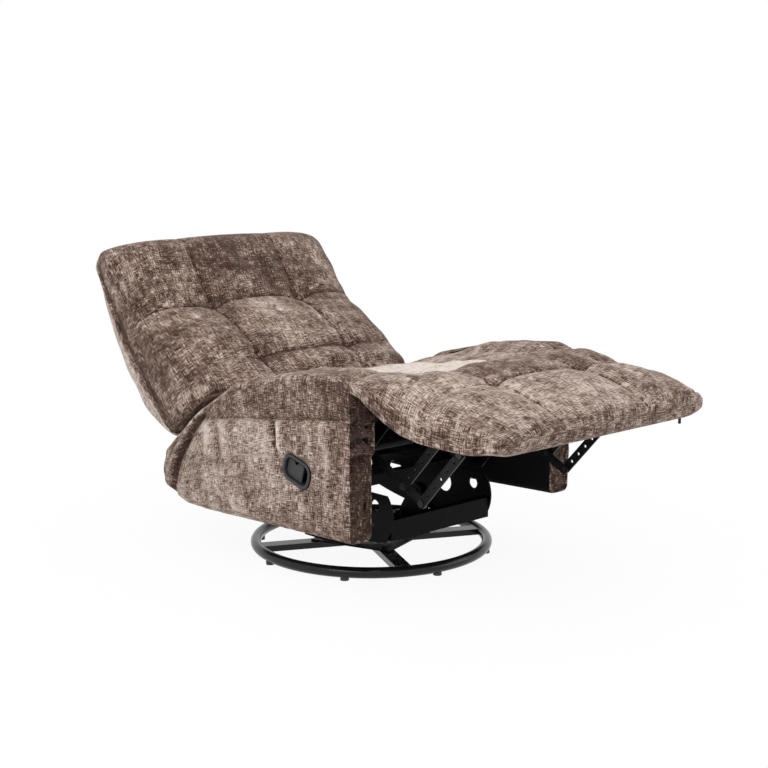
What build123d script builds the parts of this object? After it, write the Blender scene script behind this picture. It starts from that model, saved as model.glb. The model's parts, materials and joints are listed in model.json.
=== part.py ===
# Swivel rocker recliner, shown reclined with its footrest out.
# Millimetres. The origin is on the floor under the swivel axis, +Z is up and the chair faces -Y.
# The sitter's right, with the pull handle, is -X.
import os
from math import atan2, cos, degrees, hypot, pi, radians, sin

from build123d import *

os.makedirs("parts", exist_ok=True)

# Fits
pin_clearance = 0.08  # radial, pins that turn in a hole
bolt_clearance = 0.4  # radial, bolts through plates
weld_gap = 0.2  # around round welded joints
soft_gap = 0.5  # between padding and what it is fitted round

# Ring base
ring_diameter = 640.0
ring_tube = 28.0
glide_height = 6.0
glide_diameter = 22.0
glide_count = 8
glide_turn = 35.0
spoke_width = 40.0
spoke_height = 16.0
spoke_inner_radius = 60.0
spoke_turn = -26.5
hub_side = 233.0
hub_thickness = 4.0
hub_bolt_radius = 125.0
bolt_diameter = 8.0
bolt_head = 13.0
bolt_head_height = 5.5

# Swivel bearing
race_outer = 95.0
race_inner = 60.0
race_height = 8.0
ball_diameter = 8.0
ball_count = 20
ball_clearance = 0.1
race_gap = 2.0
king_bolt_diameter = 16.0
king_head = 28.0
king_head_height = 9.0
king_lift = 0.4

# Turntable and rocker
turntable_length = 340.0
turntable_depth = 160.0
turntable_thickness = 5.0
turntable_corner = 12.0
pedestal_thickness = 5.0
pedestal_foot = 45.0
pedestal_width = 130.0
pedestal_top_radius = 26.0
pedestal_bolt_spacing = 90.0
pedestal_bolt_inset = 27.0
rock_pivot = (0.0, 118.0)
rock_pin_diameter = 16.0
rock_pin_head = 26.0
bush_wall = 5.0
bush_flange_radius = 21.0
rocker_gap = 7.0
rocker_thickness = 5.0
rocker_top = 212.0
rocker_front = -268.0
rocker_rear = 190.0
rocker_front_slant = 20.0
rocker_rear_slant = 10.0
rocker_belly = 34.0  # depth under the rocking pivot
rocker_toe = (26.0, 24.0)  # lower front corner, in from the front and under the pivot
rocker_front_holes = ((62.0, 16.0, 30.0), (74.0, -40.0, 20.0))  # behind the front, above the middle, diameter
rocker_windows = (-100.0, 90.0)  # from the pivot
front_bar_at = (-250.0, 126.0)
front_bar_size = (24.0, 52.0)
rear_bar_at = (150.0, 150.0)
rear_bar_size = (24.0, 40.0)
bar_wall = 3.0
cross_tube_side = 26.0
cross_tube_wall = 2.5
cross_tubes_at = (-130.0, 110.0)

# Arms
chair_width = 776.0
arm_padding = 58.0
arm_board = 12.0
arm_front = -350.0
arm_bottom = 150.0
arm_round = 14.0
arm_front_top = (-345.0, 538.0)
arm_crest = (-312.0, 553.0)
arm_top_middle = (-137.0, 533.0)
arm_top_rear = (77.0, 479.0)
arm_slope_top = (204.0, 403.0)
arm_slope_end = (386.0, 262.0)
arm_rear_low = (388.0, 202.0)
arm_rear_foot = (346.0, 142.0)
arm_heel = (296.0, 127.0)
arm_board_inset = 12.0
front_top_bow = 6.0
top_bow = 5.0
slope_bow = 4.0
heel_bow = 6.0
arm_round_share = 0.3  # where the arm's round edge is bent, as a share of its depth
band_front = (-352.0, 447.0)
band_rear = (236.0, 366.0)
band_groove = 5.0
groove_depth = 4.0

# Mechanism
plate_setback = 145.0  # inner face of a side plate, in from the outside of the chair
plate_thickness = 4.0
link_thickness = 4.0
link_gap = 1.0
link_width = 24.0
link_hole = 8.0
link_hole_count = 5
pivot_pin_diameter = 10.0
pivot_head_radius = 9.0
pivot_head_height = 3.0
torque_tube_diameter = 25.0
torque_tube_wall = 2.5
footrest_pivot = (-375.0, 483.0)
drive_pivot = (-250.0, 346.0)
link_reach = (-200.0, -99.0)  # from a pivot to the front link's pivot
rear_link_share = 0.7  # the rear link sits at this share of the reach
spacer_diameter = 22.0
spacers_at = ((-80.0, 352.0), (110.0, 262.0), (-90.0, 236.0))
lightening_hole = 52.0
lightening_at = ((-120.0, 292.0), (-10.0, 262.0))
plate_nose = ((-32.0, -6.0), (0.0, 34.0))  # corners round the drive pivot
plate_shoulder = (14.0, 22.0)  # from the first spacer
plate_waist = (30.0, 300.0)
plate_neck = ((-58.0, -92.0), (-24.0, -14.0), (24.0, -14.0), (32.0, -92.0))  # from the back's pivot
plate_foot = (60.0, -40.0)  # past the rear and the front cross tube
plate_lap = 6.0  # of a side plate under the tops of the rocker plates
plate_eye = 28.0
plate_nose_width = 36.0
bolt_short = 2.0  # a bolt's tip stays this far inside the board it holds

# Seat
deck_front = (-338.0, 492.0)
deck_rear = (118.0, 408.0)
seat_rail_depth = 60.0
seat_rail_thickness = 20.0
cross_rail_width = 26.0
cross_rail_height = 15.0
webbing_width = 50.0
webbing_thickness = 2.0
webbing_count = 5
seat_side_gap = 6.0
seat_edge_height = 42.0
seat_crown = 32.0
seat_channel = 9.0
seat_tuck = 56.0  # of the seat's rear edge in front of the back's pivot
roll_clearance = 4.0  # between the seat and the roll of the back
rear_rail_at = (306.0, 208.0)
rear_rail_size = (18.0, 90.0)

# Back
recline_angle = 40.0  # of the back above the floor, at rest
back_pivot = (205.0, 380.0)
back_width = 782.0
back_start = 26.0
back_end = 622.0
back_roll_radius = 78.0
back_roll_depth = 46.0
roll_side_gap = 12.0  # of the roll inside the seat's width
back_roll_span = 46.0
board_low = (66.0, -150.0)  # along the back and out of it, on the board's front face
board_slope = 0.19
board_thickness = 14.0
board_end = 515.0
board_half_width = 340.0
back_edge = 34.0
back_crest = 62.0
back_crest_at = 240.0
back_crest_fall = 0.00036
back_channel = 20.0
first_tuft = 0.08  # the lowest tuft row's place, as a share of the back's length
back_foot_front = (34.0, 10.0)  # two points of the slanted underside, behind the arms
back_foot_rear = (72.0, -204.0)
rear_cover_start = 74.0
rear_cover_low = 38.0
rear_cover_high = 16.0
rear_cover_bulge = 28.0
rear_cover_crown = 8.0
rear_cover_edge = 0.7  # depth at the sides, as a share of the depth at the middle
bracket_thickness = 6.0
bracket_reach = (44.0, -172.0)
bracket_top = 190.0
bracket_width = 24.0
bracket_lip = 1.0

# Footrest
footrest_low_rear = (-440.0, 462.0)
footrest_low_front = (-780.0, 425.0)
footrest_half_width = 385.0
footrest_rear = -398.0
footrest_front = -788.0
footrest_board_thickness = 15.0
footrest_board_half_width = 345.0
footrest_edge_height = 58.0
footrest_crown = 46.0
footrest_channel = 16.0
footrest_flange = 24.0
flange_length = 170.0
flange_middle = 103.0  # from the rear edge of the footrest's underside
flange_bolt_spacing = 130.0
bracket_toe = 60.0  # of a footrest bracket in front of the front link's pivot
bracket_drop = 39.0  # of a footrest bracket's arm under the board's rear edge
footrest_corner = 42.0
pivot_slot_depth = 74.0
pivot_slot_above = 28.0

# Cushions
tuft_column = 150.0
side_bulge = 9.0
draw_in = 7.0
section_count = 13
seam_crown = 0.33  # crown left on a cross seam, as a share of the whole crown
column_dip = (1.4, 0.8)  # depth of the column seams: on a cross seam, and what a pillow's middle takes off
front_fall = 0.8  # where the footrest starts to fall to its front edge, as a share of its length
front_edge_fall = 0.45
front_crest_fall = 0.5
front_dip_fall = 0.6
zipper_at = (310.0, -752.0)
zipper_size = (8.0, 3.0, 26.0)

# Handle
handle_at = (-161.0, 294.0)
handle_lean = 16.0  # of the long axis above the horizontal, rising to the rear
handle_length = 100.0
handle_width = 66.0
handle_corner = 27.0
bezel_rim = 8.0
bezel_proud = 3.5
cup_wall = 2.0
cup_depth = 36.0
paddle_thickness = 5.0
paddle_gap = 1.8
paddle_reach = 18.0  # of the paddle's free edge ahead of the middle of the oval
paddle_edge_gap = 3.0
paddle_notch = 7.0
paddle_notch_at = 11.0
paddle_pin_diameter = 5.0
paddle_pin_at = 28.0
paddle_pin_depth = 8.5
paddle_hub = 12.0
bezel_round = 2.0
paddle_chamfer = 0.8

# Worked out from the sizes above
sides = (("right", -1), ("left", 1))
ring_radius = (ring_diameter - ring_tube) / 2
ring_height = glide_height + ring_tube / 2
spoke_low = ring_height - spoke_height / 2
hub_low = spoke_low + spoke_height
lower_race_low = hub_low + hub_thickness
upper_race_low = lower_race_low + race_height + race_gap
ball_height = lower_race_low + race_height + race_gap / 2
ball_circle = (race_outer + race_inner) / 2
turntable_low = upper_race_low + race_height
pedestal_low = turntable_low + turntable_thickness
pedestal_out = turntable_length / 2 - pedestal_thickness
rocker_in = pedestal_out + rocker_gap
arm_out = chair_width / 2
board_out = arm_out - arm_padding
board_in = board_out - arm_board
plate_in = arm_out - plate_setback
plate_out = plate_in + plate_thickness
link_in = plate_out + link_gap
coupler_in = link_in + link_thickness + link_gap
bracket_in = coupler_in + link_thickness + link_gap
bracket_out = bracket_in + link_thickness
back_bracket_out = plate_in - link_gap
back_bracket_in = back_bracket_out - bracket_thickness
seat_half_width = board_in - seat_side_gap
back_roll_half_width = seat_half_width - roll_side_gap
front_low_pivot = tuple(d + r for d, r in zip(drive_pivot, link_reach))
front_high_pivot = tuple(f + r for f, r in zip(footrest_pivot, link_reach))
rear_low_pivot = tuple(d + rear_link_share * r for d, r in zip(drive_pivot, link_reach))
rear_high_pivot = tuple(f + rear_link_share * r for f, r in zip(footrest_pivot, link_reach))
coupler_pivots = (
    ("front_link", front_low_pivot, front_high_pivot),
    ("rear_link", rear_low_pivot, rear_high_pivot),
)
back_cos = cos(radians(recline_angle))
back_sin = sin(radians(recline_angle))


def save(piece, name):
    # Each piece is one named file.
    piece.label = name
    export_step(piece, f"parts/{name}.step")


def side_plane(x):
    # Upright plane across the chair at x: sketch x runs along Y, sketch y along Z.
    return Plane(origin=(x, 0, 0), x_dir=(0, 1, 0), z_dir=(1, 0, 0))


def cross_plane(y):
    # Upright plane along the chair at y: sketch x runs along X, sketch y along Z.
    return Plane(origin=(0, y, 0), x_dir=(1, 0, 0), z_dir=(0, -1, 0))


def on_back(along, out):
    # A point of the back's own frame as (Y, Z): along the back from its pivot, and out of its front.
    y = back_pivot[0] + along * back_cos - out * back_sin
    z = back_pivot[1] + along * back_sin + out * back_cos
    return (y, z)


def back_plane(along):
    # Plane square to the back: sketch x runs along X, sketch y out of the front.
    y, z = on_back(along, 0)
    return Plane(origin=(0, y, z), x_dir=(1, 0, 0), z_dir=(0, -back_cos, -back_sin))


def slope_plane(low, high, x_sign):
    # Plane through two (Y, Z) points, its sketch y running from low to high.
    run = (high[0] - low[0], high[1] - low[1])
    length = hypot(*run)
    normal = (0, -x_sign * run[1] / length, x_sign * run[0] / length)
    return Plane(origin=(0, *low), x_dir=(x_sign, 0, 0), z_dir=normal)


def shifted(point, step):
    # A flat point moved by a step.
    return (point[0] + step[0], point[1] + step[1])


def strap(start, end, width):
    # A flat bar outline with round ends between two points.
    run = (end[0] - start[0], end[1] - start[1])
    middle = ((start[0] + end[0]) / 2, (start[1] + end[1]) / 2)
    with Locations(middle):
        SlotCenterToCenter(hypot(*run), width, rotation=degrees(atan2(run[1], run[0])))


def punch(at, diameter):
    # A round hole in a sketch.
    with Locations(at):
        Circle(diameter / 2, mode=Mode.SUBTRACT)


def rod(start, end, diameter):
    # A round bar from one point to another.
    run = tuple(e - s for s, e in zip(start, end))
    with BuildSketch(Plane(origin=start, z_dir=run)) as section:
        Circle(diameter / 2)
    extrude(section.sketch, amount=hypot(*run))


def bolt(seat, tip, diameter, head):
    # A hexagon bolt: its head stands on the seat, its shank ends at the tip.
    run = tuple(t - s for s, t in zip(seat, tip))
    rod(seat, tip, diameter)
    with BuildSketch(Plane(origin=seat, z_dir=run)) as hexagon:
        RegularPolygon(head / 2, 6, major_radius=False)
    extrude(hexagon.sketch, amount=-bolt_head_height)


def pivot_pin(side, at, start, end):
    # A riveted pivot pin across the stacked plates, with a head outside.
    rod((side * start, *at), (side * end, *at), pivot_pin_diameter)
    rod((side * end, *at), (side * (end + pivot_head_height), *at), 2 * pivot_head_radius)


def puff(share, pillows):
    # Rise of a sewn pad between its cross channels: 0 on a channel, 1 half way.
    return abs(sin(pi * pillows * share)) ** 0.6


def pad_section(plane, half, base, edge, crest, dip, column):
    # One section across a pad: flat base, swelling sides and three crowned columns.
    inner = half - side_bulge
    outer_column = (inner + column) / 2
    with BuildSketch(plane) as section:
        with BuildLine():
            Line((-inner, base), (inner, base))
            ThreePointArc((inner, base), (half, (base + edge) / 2), (inner, edge))
            ThreePointArc((inner, edge), (outer_column, crest), (column, dip))
            ThreePointArc((column, dip), (0, crest), (-column, dip))
            ThreePointArc((-column, dip), (-outer_column, crest), (-inner, edge))
            ThreePointArc((-inner, edge), (-half, (base + edge) / 2), (-inner, base))
        make_face()
    return section.sketch.face()


# Ring base

with BuildPart() as base_ring:
    with BuildSketch(Plane.XZ):
        with Locations((ring_radius, ring_height)):
            Circle(ring_tube / 2)
    revolve(axis=Axis.Z)
save(base_ring.part, "base_ring")

with BuildPart() as base_spokes:
    with BuildSketch(Plane.XY.offset(spoke_low)):
        with PolarLocations(0, 4, start_angle=spoke_turn):
            with Locations(((spoke_inner_radius + ring_radius) / 2, 0)):
                Rectangle(ring_radius - spoke_inner_radius, spoke_width)
        with PolarLocations(hub_bolt_radius, 4, start_angle=spoke_turn):
            Circle(bolt_diameter / 2 + bolt_clearance, mode=Mode.SUBTRACT)
    extrude(amount=spoke_height)
    with BuildSketch(Plane.XZ):
        with Locations((ring_radius, ring_height)):
            Circle(ring_tube / 2 + weld_gap)
    revolve(axis=Axis.Z, mode=Mode.SUBTRACT)
save(base_spokes.part, "base_spokes")

with BuildPart() as floor_glides:
    with BuildSketch():
        with PolarLocations(ring_radius, glide_count, start_angle=glide_turn):
            Circle(glide_diameter / 2)
    extrude(amount=ring_height)
    with BuildSketch(Plane.XZ):
        with Locations((ring_radius, ring_height)):
            Circle(ring_tube / 2 + weld_gap)
    revolve(axis=Axis.Z, mode=Mode.SUBTRACT)
save(floor_glides.part, "floor_glides")

with BuildPart() as hub_plate:
    with BuildSketch(Plane.XY.offset(hub_low)):
        Rectangle(hub_side, hub_side, rotation=spoke_turn + 45)
        Circle(king_bolt_diameter / 2 + bolt_clearance, mode=Mode.SUBTRACT)
        with PolarLocations(hub_bolt_radius, 4, start_angle=spoke_turn):
            Circle(bolt_diameter / 2 + bolt_clearance, mode=Mode.SUBTRACT)
    extrude(amount=hub_thickness)
save(hub_plate.part, "hub_plate")

with BuildPart() as hub_bolts:
    for step in range(4):
        turn = radians(spoke_turn + 90 * step)
        spot = (hub_bolt_radius * cos(turn), hub_bolt_radius * sin(turn))
        bolt((*spot, hub_low + hub_thickness), (*spot, spoke_low), bolt_diameter, bolt_head)
save(hub_bolts.part, "hub_bolts")

with BuildPart() as lower_race:
    with BuildSketch(Plane.XY.offset(lower_race_low)):
        Circle(race_outer)
        Circle(race_inner, mode=Mode.SUBTRACT)
    extrude(amount=race_height)
    with BuildSketch(Plane.XZ):
        with Locations((ball_circle, ball_height)):
            Circle(ball_diameter / 2 + ball_clearance)
    revolve(axis=Axis.Z, mode=Mode.SUBTRACT)
save(lower_race.part, "lower_race")

with BuildPart() as swivel_balls:
    with Locations((0, 0, ball_height)):
        with PolarLocations(ball_circle, ball_count):
            Sphere(ball_diameter / 2)
save(swivel_balls.part, "swivel_balls")

king_top = pedestal_low + king_lift
with BuildPart() as king_bolt:
    rod((0, 0, hub_low), (0, 0, king_top + king_head_height), king_bolt_diameter)
    with BuildSketch(Plane.XY.offset(hub_low)):
        RegularPolygon(king_head / 2, 6, major_radius=False)
    extrude(amount=-king_head_height)
save(king_bolt.part, "king_bolt")

with BuildPart() as king_nut:
    with BuildSketch(Plane.XY.offset(king_top)):
        RegularPolygon(king_head / 2, 6, major_radius=False)
        Circle(king_bolt_diameter / 2 + weld_gap, mode=Mode.SUBTRACT)
    extrude(amount=king_head_height)
save(king_nut.part, "king_nut")

# Turntable

with BuildPart() as upper_race:
    with BuildSketch(Plane.XY.offset(upper_race_low)):
        Circle(race_outer)
        Circle(race_inner, mode=Mode.SUBTRACT)
    extrude(amount=race_height)
    with BuildSketch(Plane.XZ):
        with Locations((ball_circle, ball_height)):
            Circle(ball_diameter / 2 + ball_clearance)
    revolve(axis=Axis.Z, mode=Mode.SUBTRACT)
save(upper_race.part, "upper_race")

pedestal_bolt_x = pedestal_out - pedestal_bolt_inset
with BuildPart() as turntable_plate:
    with BuildSketch(Plane.XY.offset(turntable_low)):
        RectangleRounded(turntable_length, turntable_depth, turntable_corner)
        Circle(king_bolt_diameter / 2 + pin_clearance, mode=Mode.SUBTRACT)
        with GridLocations(2 * pedestal_bolt_x, pedestal_bolt_spacing, 2, 2):
            Circle(bolt_diameter / 2 + bolt_clearance, mode=Mode.SUBTRACT)
    extrude(amount=turntable_thickness)
save(turntable_plate.part, "turntable_plate")

for side, sign in sides:
    with BuildPart() as pedestal:
        with BuildSketch(Plane.XY.offset(pedestal_low)):
            with Locations((sign * (pedestal_out - pedestal_foot / 2), 0)):
                Rectangle(pedestal_foot, pedestal_width)
            with GridLocations(2 * pedestal_bolt_x, pedestal_bolt_spacing, 2, 2):
                Circle(bolt_diameter / 2 + bolt_clearance, mode=Mode.SUBTRACT)
        extrude(amount=pedestal_thickness)
        with BuildSketch(side_plane(sign * pedestal_out)):
            with BuildLine():
                Polyline(
                    (-pedestal_width / 2, pedestal_low),
                    (pedestal_width / 2, pedestal_low),
                    (rock_pivot[0] + pedestal_top_radius, rock_pivot[1]),
                    (rock_pivot[0] - pedestal_top_radius, rock_pivot[1]),
                    close=True,
                )
            make_face()
            with Locations(rock_pivot):
                Circle(pedestal_top_radius)
            punch(rock_pivot, rock_pin_diameter + 2 * pin_clearance)
        extrude(amount=-sign * pedestal_thickness)
    save(pedestal.part, f"pedestal_{side}")

with BuildPart() as pedestal_bolts:
    for x in (-pedestal_bolt_x, pedestal_bolt_x):
        for y in (-pedestal_bolt_spacing / 2, pedestal_bolt_spacing / 2):
            bolt((x, y, pedestal_low + pedestal_thickness), (x, y, turntable_low), bolt_diameter, bolt_head)
save(pedestal_bolts.part, "pedestal_bolts")

rocker_out = rocker_in + rocker_thickness
with BuildPart() as rocker_pins:
    for side, sign in sides:
        inner = sign * (pedestal_out - pedestal_thickness)
        rod((inner, *rock_pivot), (sign * (rocker_out + rocker_gap), *rock_pivot), rock_pin_diameter)
        rod((inner, *rock_pivot), (inner - sign * pivot_head_height, *rock_pivot), rock_pin_head)
save(rocker_pins.part, "rocker_pins")

# Seat chassis

bush_bore = rock_pin_diameter + 2 * pin_clearance
bush_outer = rock_pin_diameter + 2 * bush_wall
with BuildPart() as rocker_bushes:
    for side, sign in sides:
        with BuildSketch(side_plane(sign * (pedestal_out + link_gap))):
            with Locations(rock_pivot):
                Circle(bush_flange_radius)
            punch(rock_pivot, bush_bore)
        extrude(amount=sign * (rocker_gap - link_gap))
        with BuildSketch(side_plane(sign * rocker_in)):
            with Locations(rock_pivot):
                Circle(bush_outer / 2)
            punch(rock_pivot, bush_bore)
        extrude(amount=sign * (rocker_thickness + link_gap))
save(rocker_bushes.part, "rocker_bushes")

rocker_mid = (rocker_top + rock_pivot[1]) / 2
rocker_corners = (
    (rocker_front + rocker_front_slant, rocker_top),
    (rocker_rear, rocker_top),
    (rocker_rear - rocker_rear_slant, rock_pivot[1]),
    (rocker_front + rocker_toe[0], rock_pivot[1] - rocker_toe[1]),
)
for side, sign in sides:
    with BuildPart() as rocker_plate:
        with BuildSketch(side_plane(sign * rocker_in)):
            with BuildLine():
                Line(rocker_corners[0], rocker_corners[1])
                Line(rocker_corners[1], rocker_corners[2])
                ThreePointArc(
                    rocker_corners[2],
                    (rock_pivot[0], rock_pivot[1] - rocker_belly),
                    rocker_corners[3],
                )
                ThreePointArc(rocker_corners[3], (rocker_front, rocker_mid), rocker_corners[0])
            make_face()
            punch(rock_pivot, bush_outer + 2 * weld_gap)
            for behind, above, diameter in rocker_front_holes:
                punch((rocker_front + behind, rocker_mid + above), diameter)
            for step in rocker_windows:
                punch((rock_pivot[0] + step, rocker_mid), lightening_hole)
        extrude(amount=sign * rocker_thickness)
    save(rocker_plate.part, f"rocker_plate_{side}")


def cross_bar(at, size, half_length, wall):
    # A rectangular tube across the chair, its middle at a (Y, Z) point.
    with BuildSketch(side_plane(-half_length)) as section:
        with Locations(at):
            Rectangle(*size)
            Rectangle(size[0] - 2 * wall, size[1] - 2 * wall, mode=Mode.SUBTRACT)
    extrude(section.sketch, amount=2 * half_length)


with BuildPart() as front_bar:
    cross_bar(front_bar_at, front_bar_size, rocker_in, bar_wall)
save(front_bar.part, "front_bar")

with BuildPart() as rear_bar:
    cross_bar(rear_bar_at, rear_bar_size, rocker_in, bar_wall)
save(rear_bar.part, "rear_bar")

with BuildPart() as cross_tubes:
    for y in cross_tubes_at:
        tube_middle = (y, rocker_top + cross_tube_side / 2)
        cross_bar(tube_middle, (cross_tube_side, cross_tube_side), plate_in, cross_tube_wall)
save(cross_tubes.part, "cross_tubes")

for side, sign in sides:
    with BuildPart() as side_plate:
        with BuildSketch(side_plane(sign * plate_in)):
            with BuildLine():
                Polyline(
                    *[shifted(drive_pivot, corner) for corner in plate_nose],
                    shifted(spacers_at[0], plate_shoulder),
                    plate_waist,
                    *[shifted(back_pivot, corner) for corner in plate_neck],
                    (cross_tubes_at[1] + plate_foot[0], rocker_top - plate_lap),
                    (cross_tubes_at[0] + plate_foot[1], rocker_top - plate_lap),
                    close=True,
                )
            make_face()
            with Locations(back_pivot):
                Circle(plate_eye)
            strap(footrest_pivot, drive_pivot, plate_nose_width)
            punch(footrest_pivot, pivot_pin_diameter + 2 * pin_clearance)
            punch(back_pivot, pivot_pin_diameter + 2 * pin_clearance)
            punch(drive_pivot, torque_tube_diameter + 2 * pin_clearance)
            for spot in lightening_at:
                punch(spot, lightening_hole)
            for spot in spacers_at:
                punch(spot, bolt_diameter + 2 * bolt_clearance)
        extrude(amount=sign * plate_thickness)
    save(side_plate.part, f"side_plate_{side}")

with BuildPart() as arm_spacers:
    for side, sign in sides:
        with BuildSketch(side_plane(sign * plate_out)):
            with Locations(*spacers_at):
                Circle(spacer_diameter / 2)
                Circle(bolt_diameter / 2 + bolt_clearance, mode=Mode.SUBTRACT)
        extrude(amount=sign * (board_in - plate_out))
save(arm_spacers.part, "arm_spacers")

with BuildPart() as arm_bolts:
    for side, sign in sides:
        for spot in spacers_at:
            tip = (sign * (board_out - bolt_short), *spot)
            bolt((sign * plate_in, *spot), tip, bolt_diameter, bolt_head)
save(arm_bolts.part, "arm_bolts")

with BuildPart() as footrest_pins:
    for side, sign in sides:
        pivot_pin(sign, footrest_pivot, plate_in - pivot_head_height, bracket_out + link_gap)
save(footrest_pins.part, "footrest_pins")

with BuildPart() as back_pins:
    for side, sign in sides:
        pivot_pin(sign, back_pivot, back_bracket_in - link_gap, plate_out + link_gap)
save(back_pins.part, "back_pins")


def bowed(start, end, bow):
    # A shallow arc that swells to the left of its run.
    run = (end[0] - start[0], end[1] - start[1])
    share = bow / hypot(*run)
    middle = ((start[0] + end[0]) / 2 - run[1] * share, (start[1] + end[1]) / 2 + run[0] * share)
    ThreePointArc(start, middle, end)


def arm_outline():
    # Side view of an arm: upright front, falling top and a steep rear slope.
    with BuildLine() as outline:
        Line((arm_front, arm_bottom), arm_front_top)
        bowed(arm_front_top, arm_crest, front_top_bow)
        Line(arm_crest, arm_top_middle)
        bowed(arm_top_middle, arm_top_rear, top_bow)
        bowed(arm_top_rear, arm_slope_top, slope_bow)
        Line(arm_slope_top, arm_slope_end)
        Line(arm_slope_end, arm_rear_low)
        bowed(arm_rear_low, arm_rear_foot, heel_bow)
        Line(arm_rear_foot, arm_heel)
        Line(arm_heel, (arm_front, arm_bottom))
    make_face(outline.edges())


def arm_section(x, inset):
    # The arm's outline on an upright plane, drawn in by the inset.
    with BuildSketch(side_plane(x)) as section:
        arm_outline()
        if inset:
            offset(amount=-inset, kind=Kind.INTERSECTION, mode=Mode.REPLACE)
    return section.sketch.face()


for side, sign in sides:
    with BuildPart() as arm_board_piece:
        with BuildSketch(side_plane(sign * board_in)):
            arm_outline()
            offset(amount=-arm_board_inset, kind=Kind.INTERSECTION, mode=Mode.REPLACE)
            for spot in spacers_at:
                punch(spot, bolt_diameter + 2 * bolt_clearance)
        extrude(amount=sign * arm_board)
    save(arm_board_piece.part, f"arm_board_{side}")

handle_tilt = radians(handle_lean)
handle_plane = Plane(
    origin=(-arm_out, *handle_at),
    x_dir=(0, cos(handle_tilt), sin(handle_tilt)),
    z_dir=(-1, 0, 0),
)
arm_bend = arm_round_share * arm_round


def handle_oval(inset):
    # The outline of the handle, drawn in by a given distance.
    RectangleRounded(handle_length - 2 * inset, handle_width - 2 * inset, handle_corner - inset)


for side, sign in sides:
    with BuildPart() as arm_pad:
        loft(
            [
                arm_section(sign * board_out, 0),
                arm_section(sign * (arm_out - arm_round), 0),
                arm_section(sign * (arm_out - arm_bend), arm_bend),
                arm_section(sign * arm_out, arm_round),
            ],
            ruled=True,
        )
        with BuildSketch(side_plane(sign * arm_out)):
            strap(band_front, band_rear, band_groove)
        extrude(amount=-sign * groove_depth, mode=Mode.SUBTRACT)
        if side == "right":
            with BuildSketch(handle_plane):
                handle_oval(bezel_rim - cup_wall - soft_gap)
            extrude(amount=-cup_depth - cup_wall - soft_gap, mode=Mode.SUBTRACT)
    save(arm_pad.part, f"arm_pad_{side}")

with BuildPart() as rear_rail:
    with BuildSketch(side_plane(-board_in)):
        with Locations(rear_rail_at):
            Rectangle(*rear_rail_size)
    extrude(amount=2 * board_in)
save(rear_rail.part, "rear_rail")

# Seat deck and cushion

deck_plane = slope_plane(deck_front, deck_rear, 1)
deck_length = hypot(deck_rear[0] - deck_front[0], deck_rear[1] - deck_front[1])
rail_top = -webbing_thickness
rail_middle = board_in - seat_rail_thickness / 2
with BuildPart() as seat_side_rails:
    with BuildSketch(deck_plane.offset(rail_top)):
        with Locations((-rail_middle, deck_length / 2), (rail_middle, deck_length / 2)):
            Rectangle(seat_rail_thickness, deck_length)
    extrude(amount=-seat_rail_depth)
save(seat_side_rails.part, "seat_side_rails")

rail_span = 2 * (board_in - seat_rail_thickness)
rail_rows = (cross_rail_width / 2, deck_length - cross_rail_width / 2)
with BuildPart() as seat_cross_rails:
    with BuildSketch(deck_plane.offset(rail_top)):
        with Locations((0, rail_rows[0]), (0, rail_rows[1])):
            Rectangle(rail_span, cross_rail_width)
    extrude(amount=-cross_rail_height)
save(seat_cross_rails.part, "seat_cross_rails")

webbing_pitch = rail_span / webbing_count
with BuildPart() as seat_webbing:
    with BuildSketch(deck_plane.offset(rail_top)):
        with Locations((0, deck_length / 2)):
            with GridLocations(webbing_pitch, 1, webbing_count, 1):
                Rectangle(webbing_width, deck_length)
    extrude(amount=webbing_thickness)
save(seat_webbing.part, "seat_webbing")


def deck_height(y):
    # Height of the seat deck at y.
    share = (y - deck_front[0]) / (deck_rear[0] - deck_front[0])
    return deck_front[1] + share * (deck_rear[1] - deck_front[1])


seat_rear = back_pivot[0] - seat_tuck
with BuildPart() as seat_cushion:
    sections = []
    for step in range(section_count):
        share = step / (section_count - 1)
        y = deck_front[0] + share * (seat_rear - deck_front[0])
        rise = puff(share, 2)
        edge = deck_height(y) + seat_edge_height
        crest = edge + seat_crown * (seam_crown + (1 - seam_crown) * rise)
        dip = crest - seat_channel * (2 - rise)
        half = seat_half_width - draw_in * sin(pi * share)
        sections.append(pad_section(cross_plane(y), half, deck_height(y), edge, crest, dip, tuft_column))
    loft(sections, ruled=True)
    with BuildSketch(side_plane(-chair_width)):
        with Locations(back_pivot):
            Circle(back_roll_radius + roll_clearance)
    extrude(amount=2 * chair_width, mode=Mode.SUBTRACT)
save(seat_cushion.part, "seat_cushion")

# Handle

with BuildPart() as handle_bezel:
    with BuildSketch(handle_plane):
        handle_oval(0)
    extrude(amount=bezel_proud)
    with BuildSketch(handle_plane):
        handle_oval(bezel_rim - cup_wall)
    extrude(amount=-cup_depth - cup_wall)
    with BuildSketch(handle_plane.offset(bezel_proud)):
        handle_oval(bezel_rim)
    extrude(amount=-cup_depth - bezel_proud, mode=Mode.SUBTRACT)
    fillet(handle_bezel.faces().sort_by(Axis.X)[0].edges(), bezel_round)
save(handle_bezel.part, "handle_bezel")

paddle_half = handle_width / 2 - bezel_rim - paddle_gap
cup_corner = handle_corner - bezel_rim
pin_edge = paddle_pin_at + paddle_pin_diameter / 2 - handle_length / 2 + handle_corner
pin_half = handle_width / 2 - handle_corner + (cup_corner**2 - pin_edge**2) ** 0.5 - weld_gap
pin_plane = handle_plane.offset(-paddle_pin_depth)


def on_handle(along, across):
    # A point of the handle's pin plane in the chair's frame.
    return tuple(pin_plane.from_local_coords((along, across, 0)))


with BuildPart() as handle_pin:
    rod(on_handle(paddle_pin_at, -pin_half), on_handle(paddle_pin_at, pin_half), paddle_pin_diameter)
save(handle_pin.part, "handle_pin")

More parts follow.
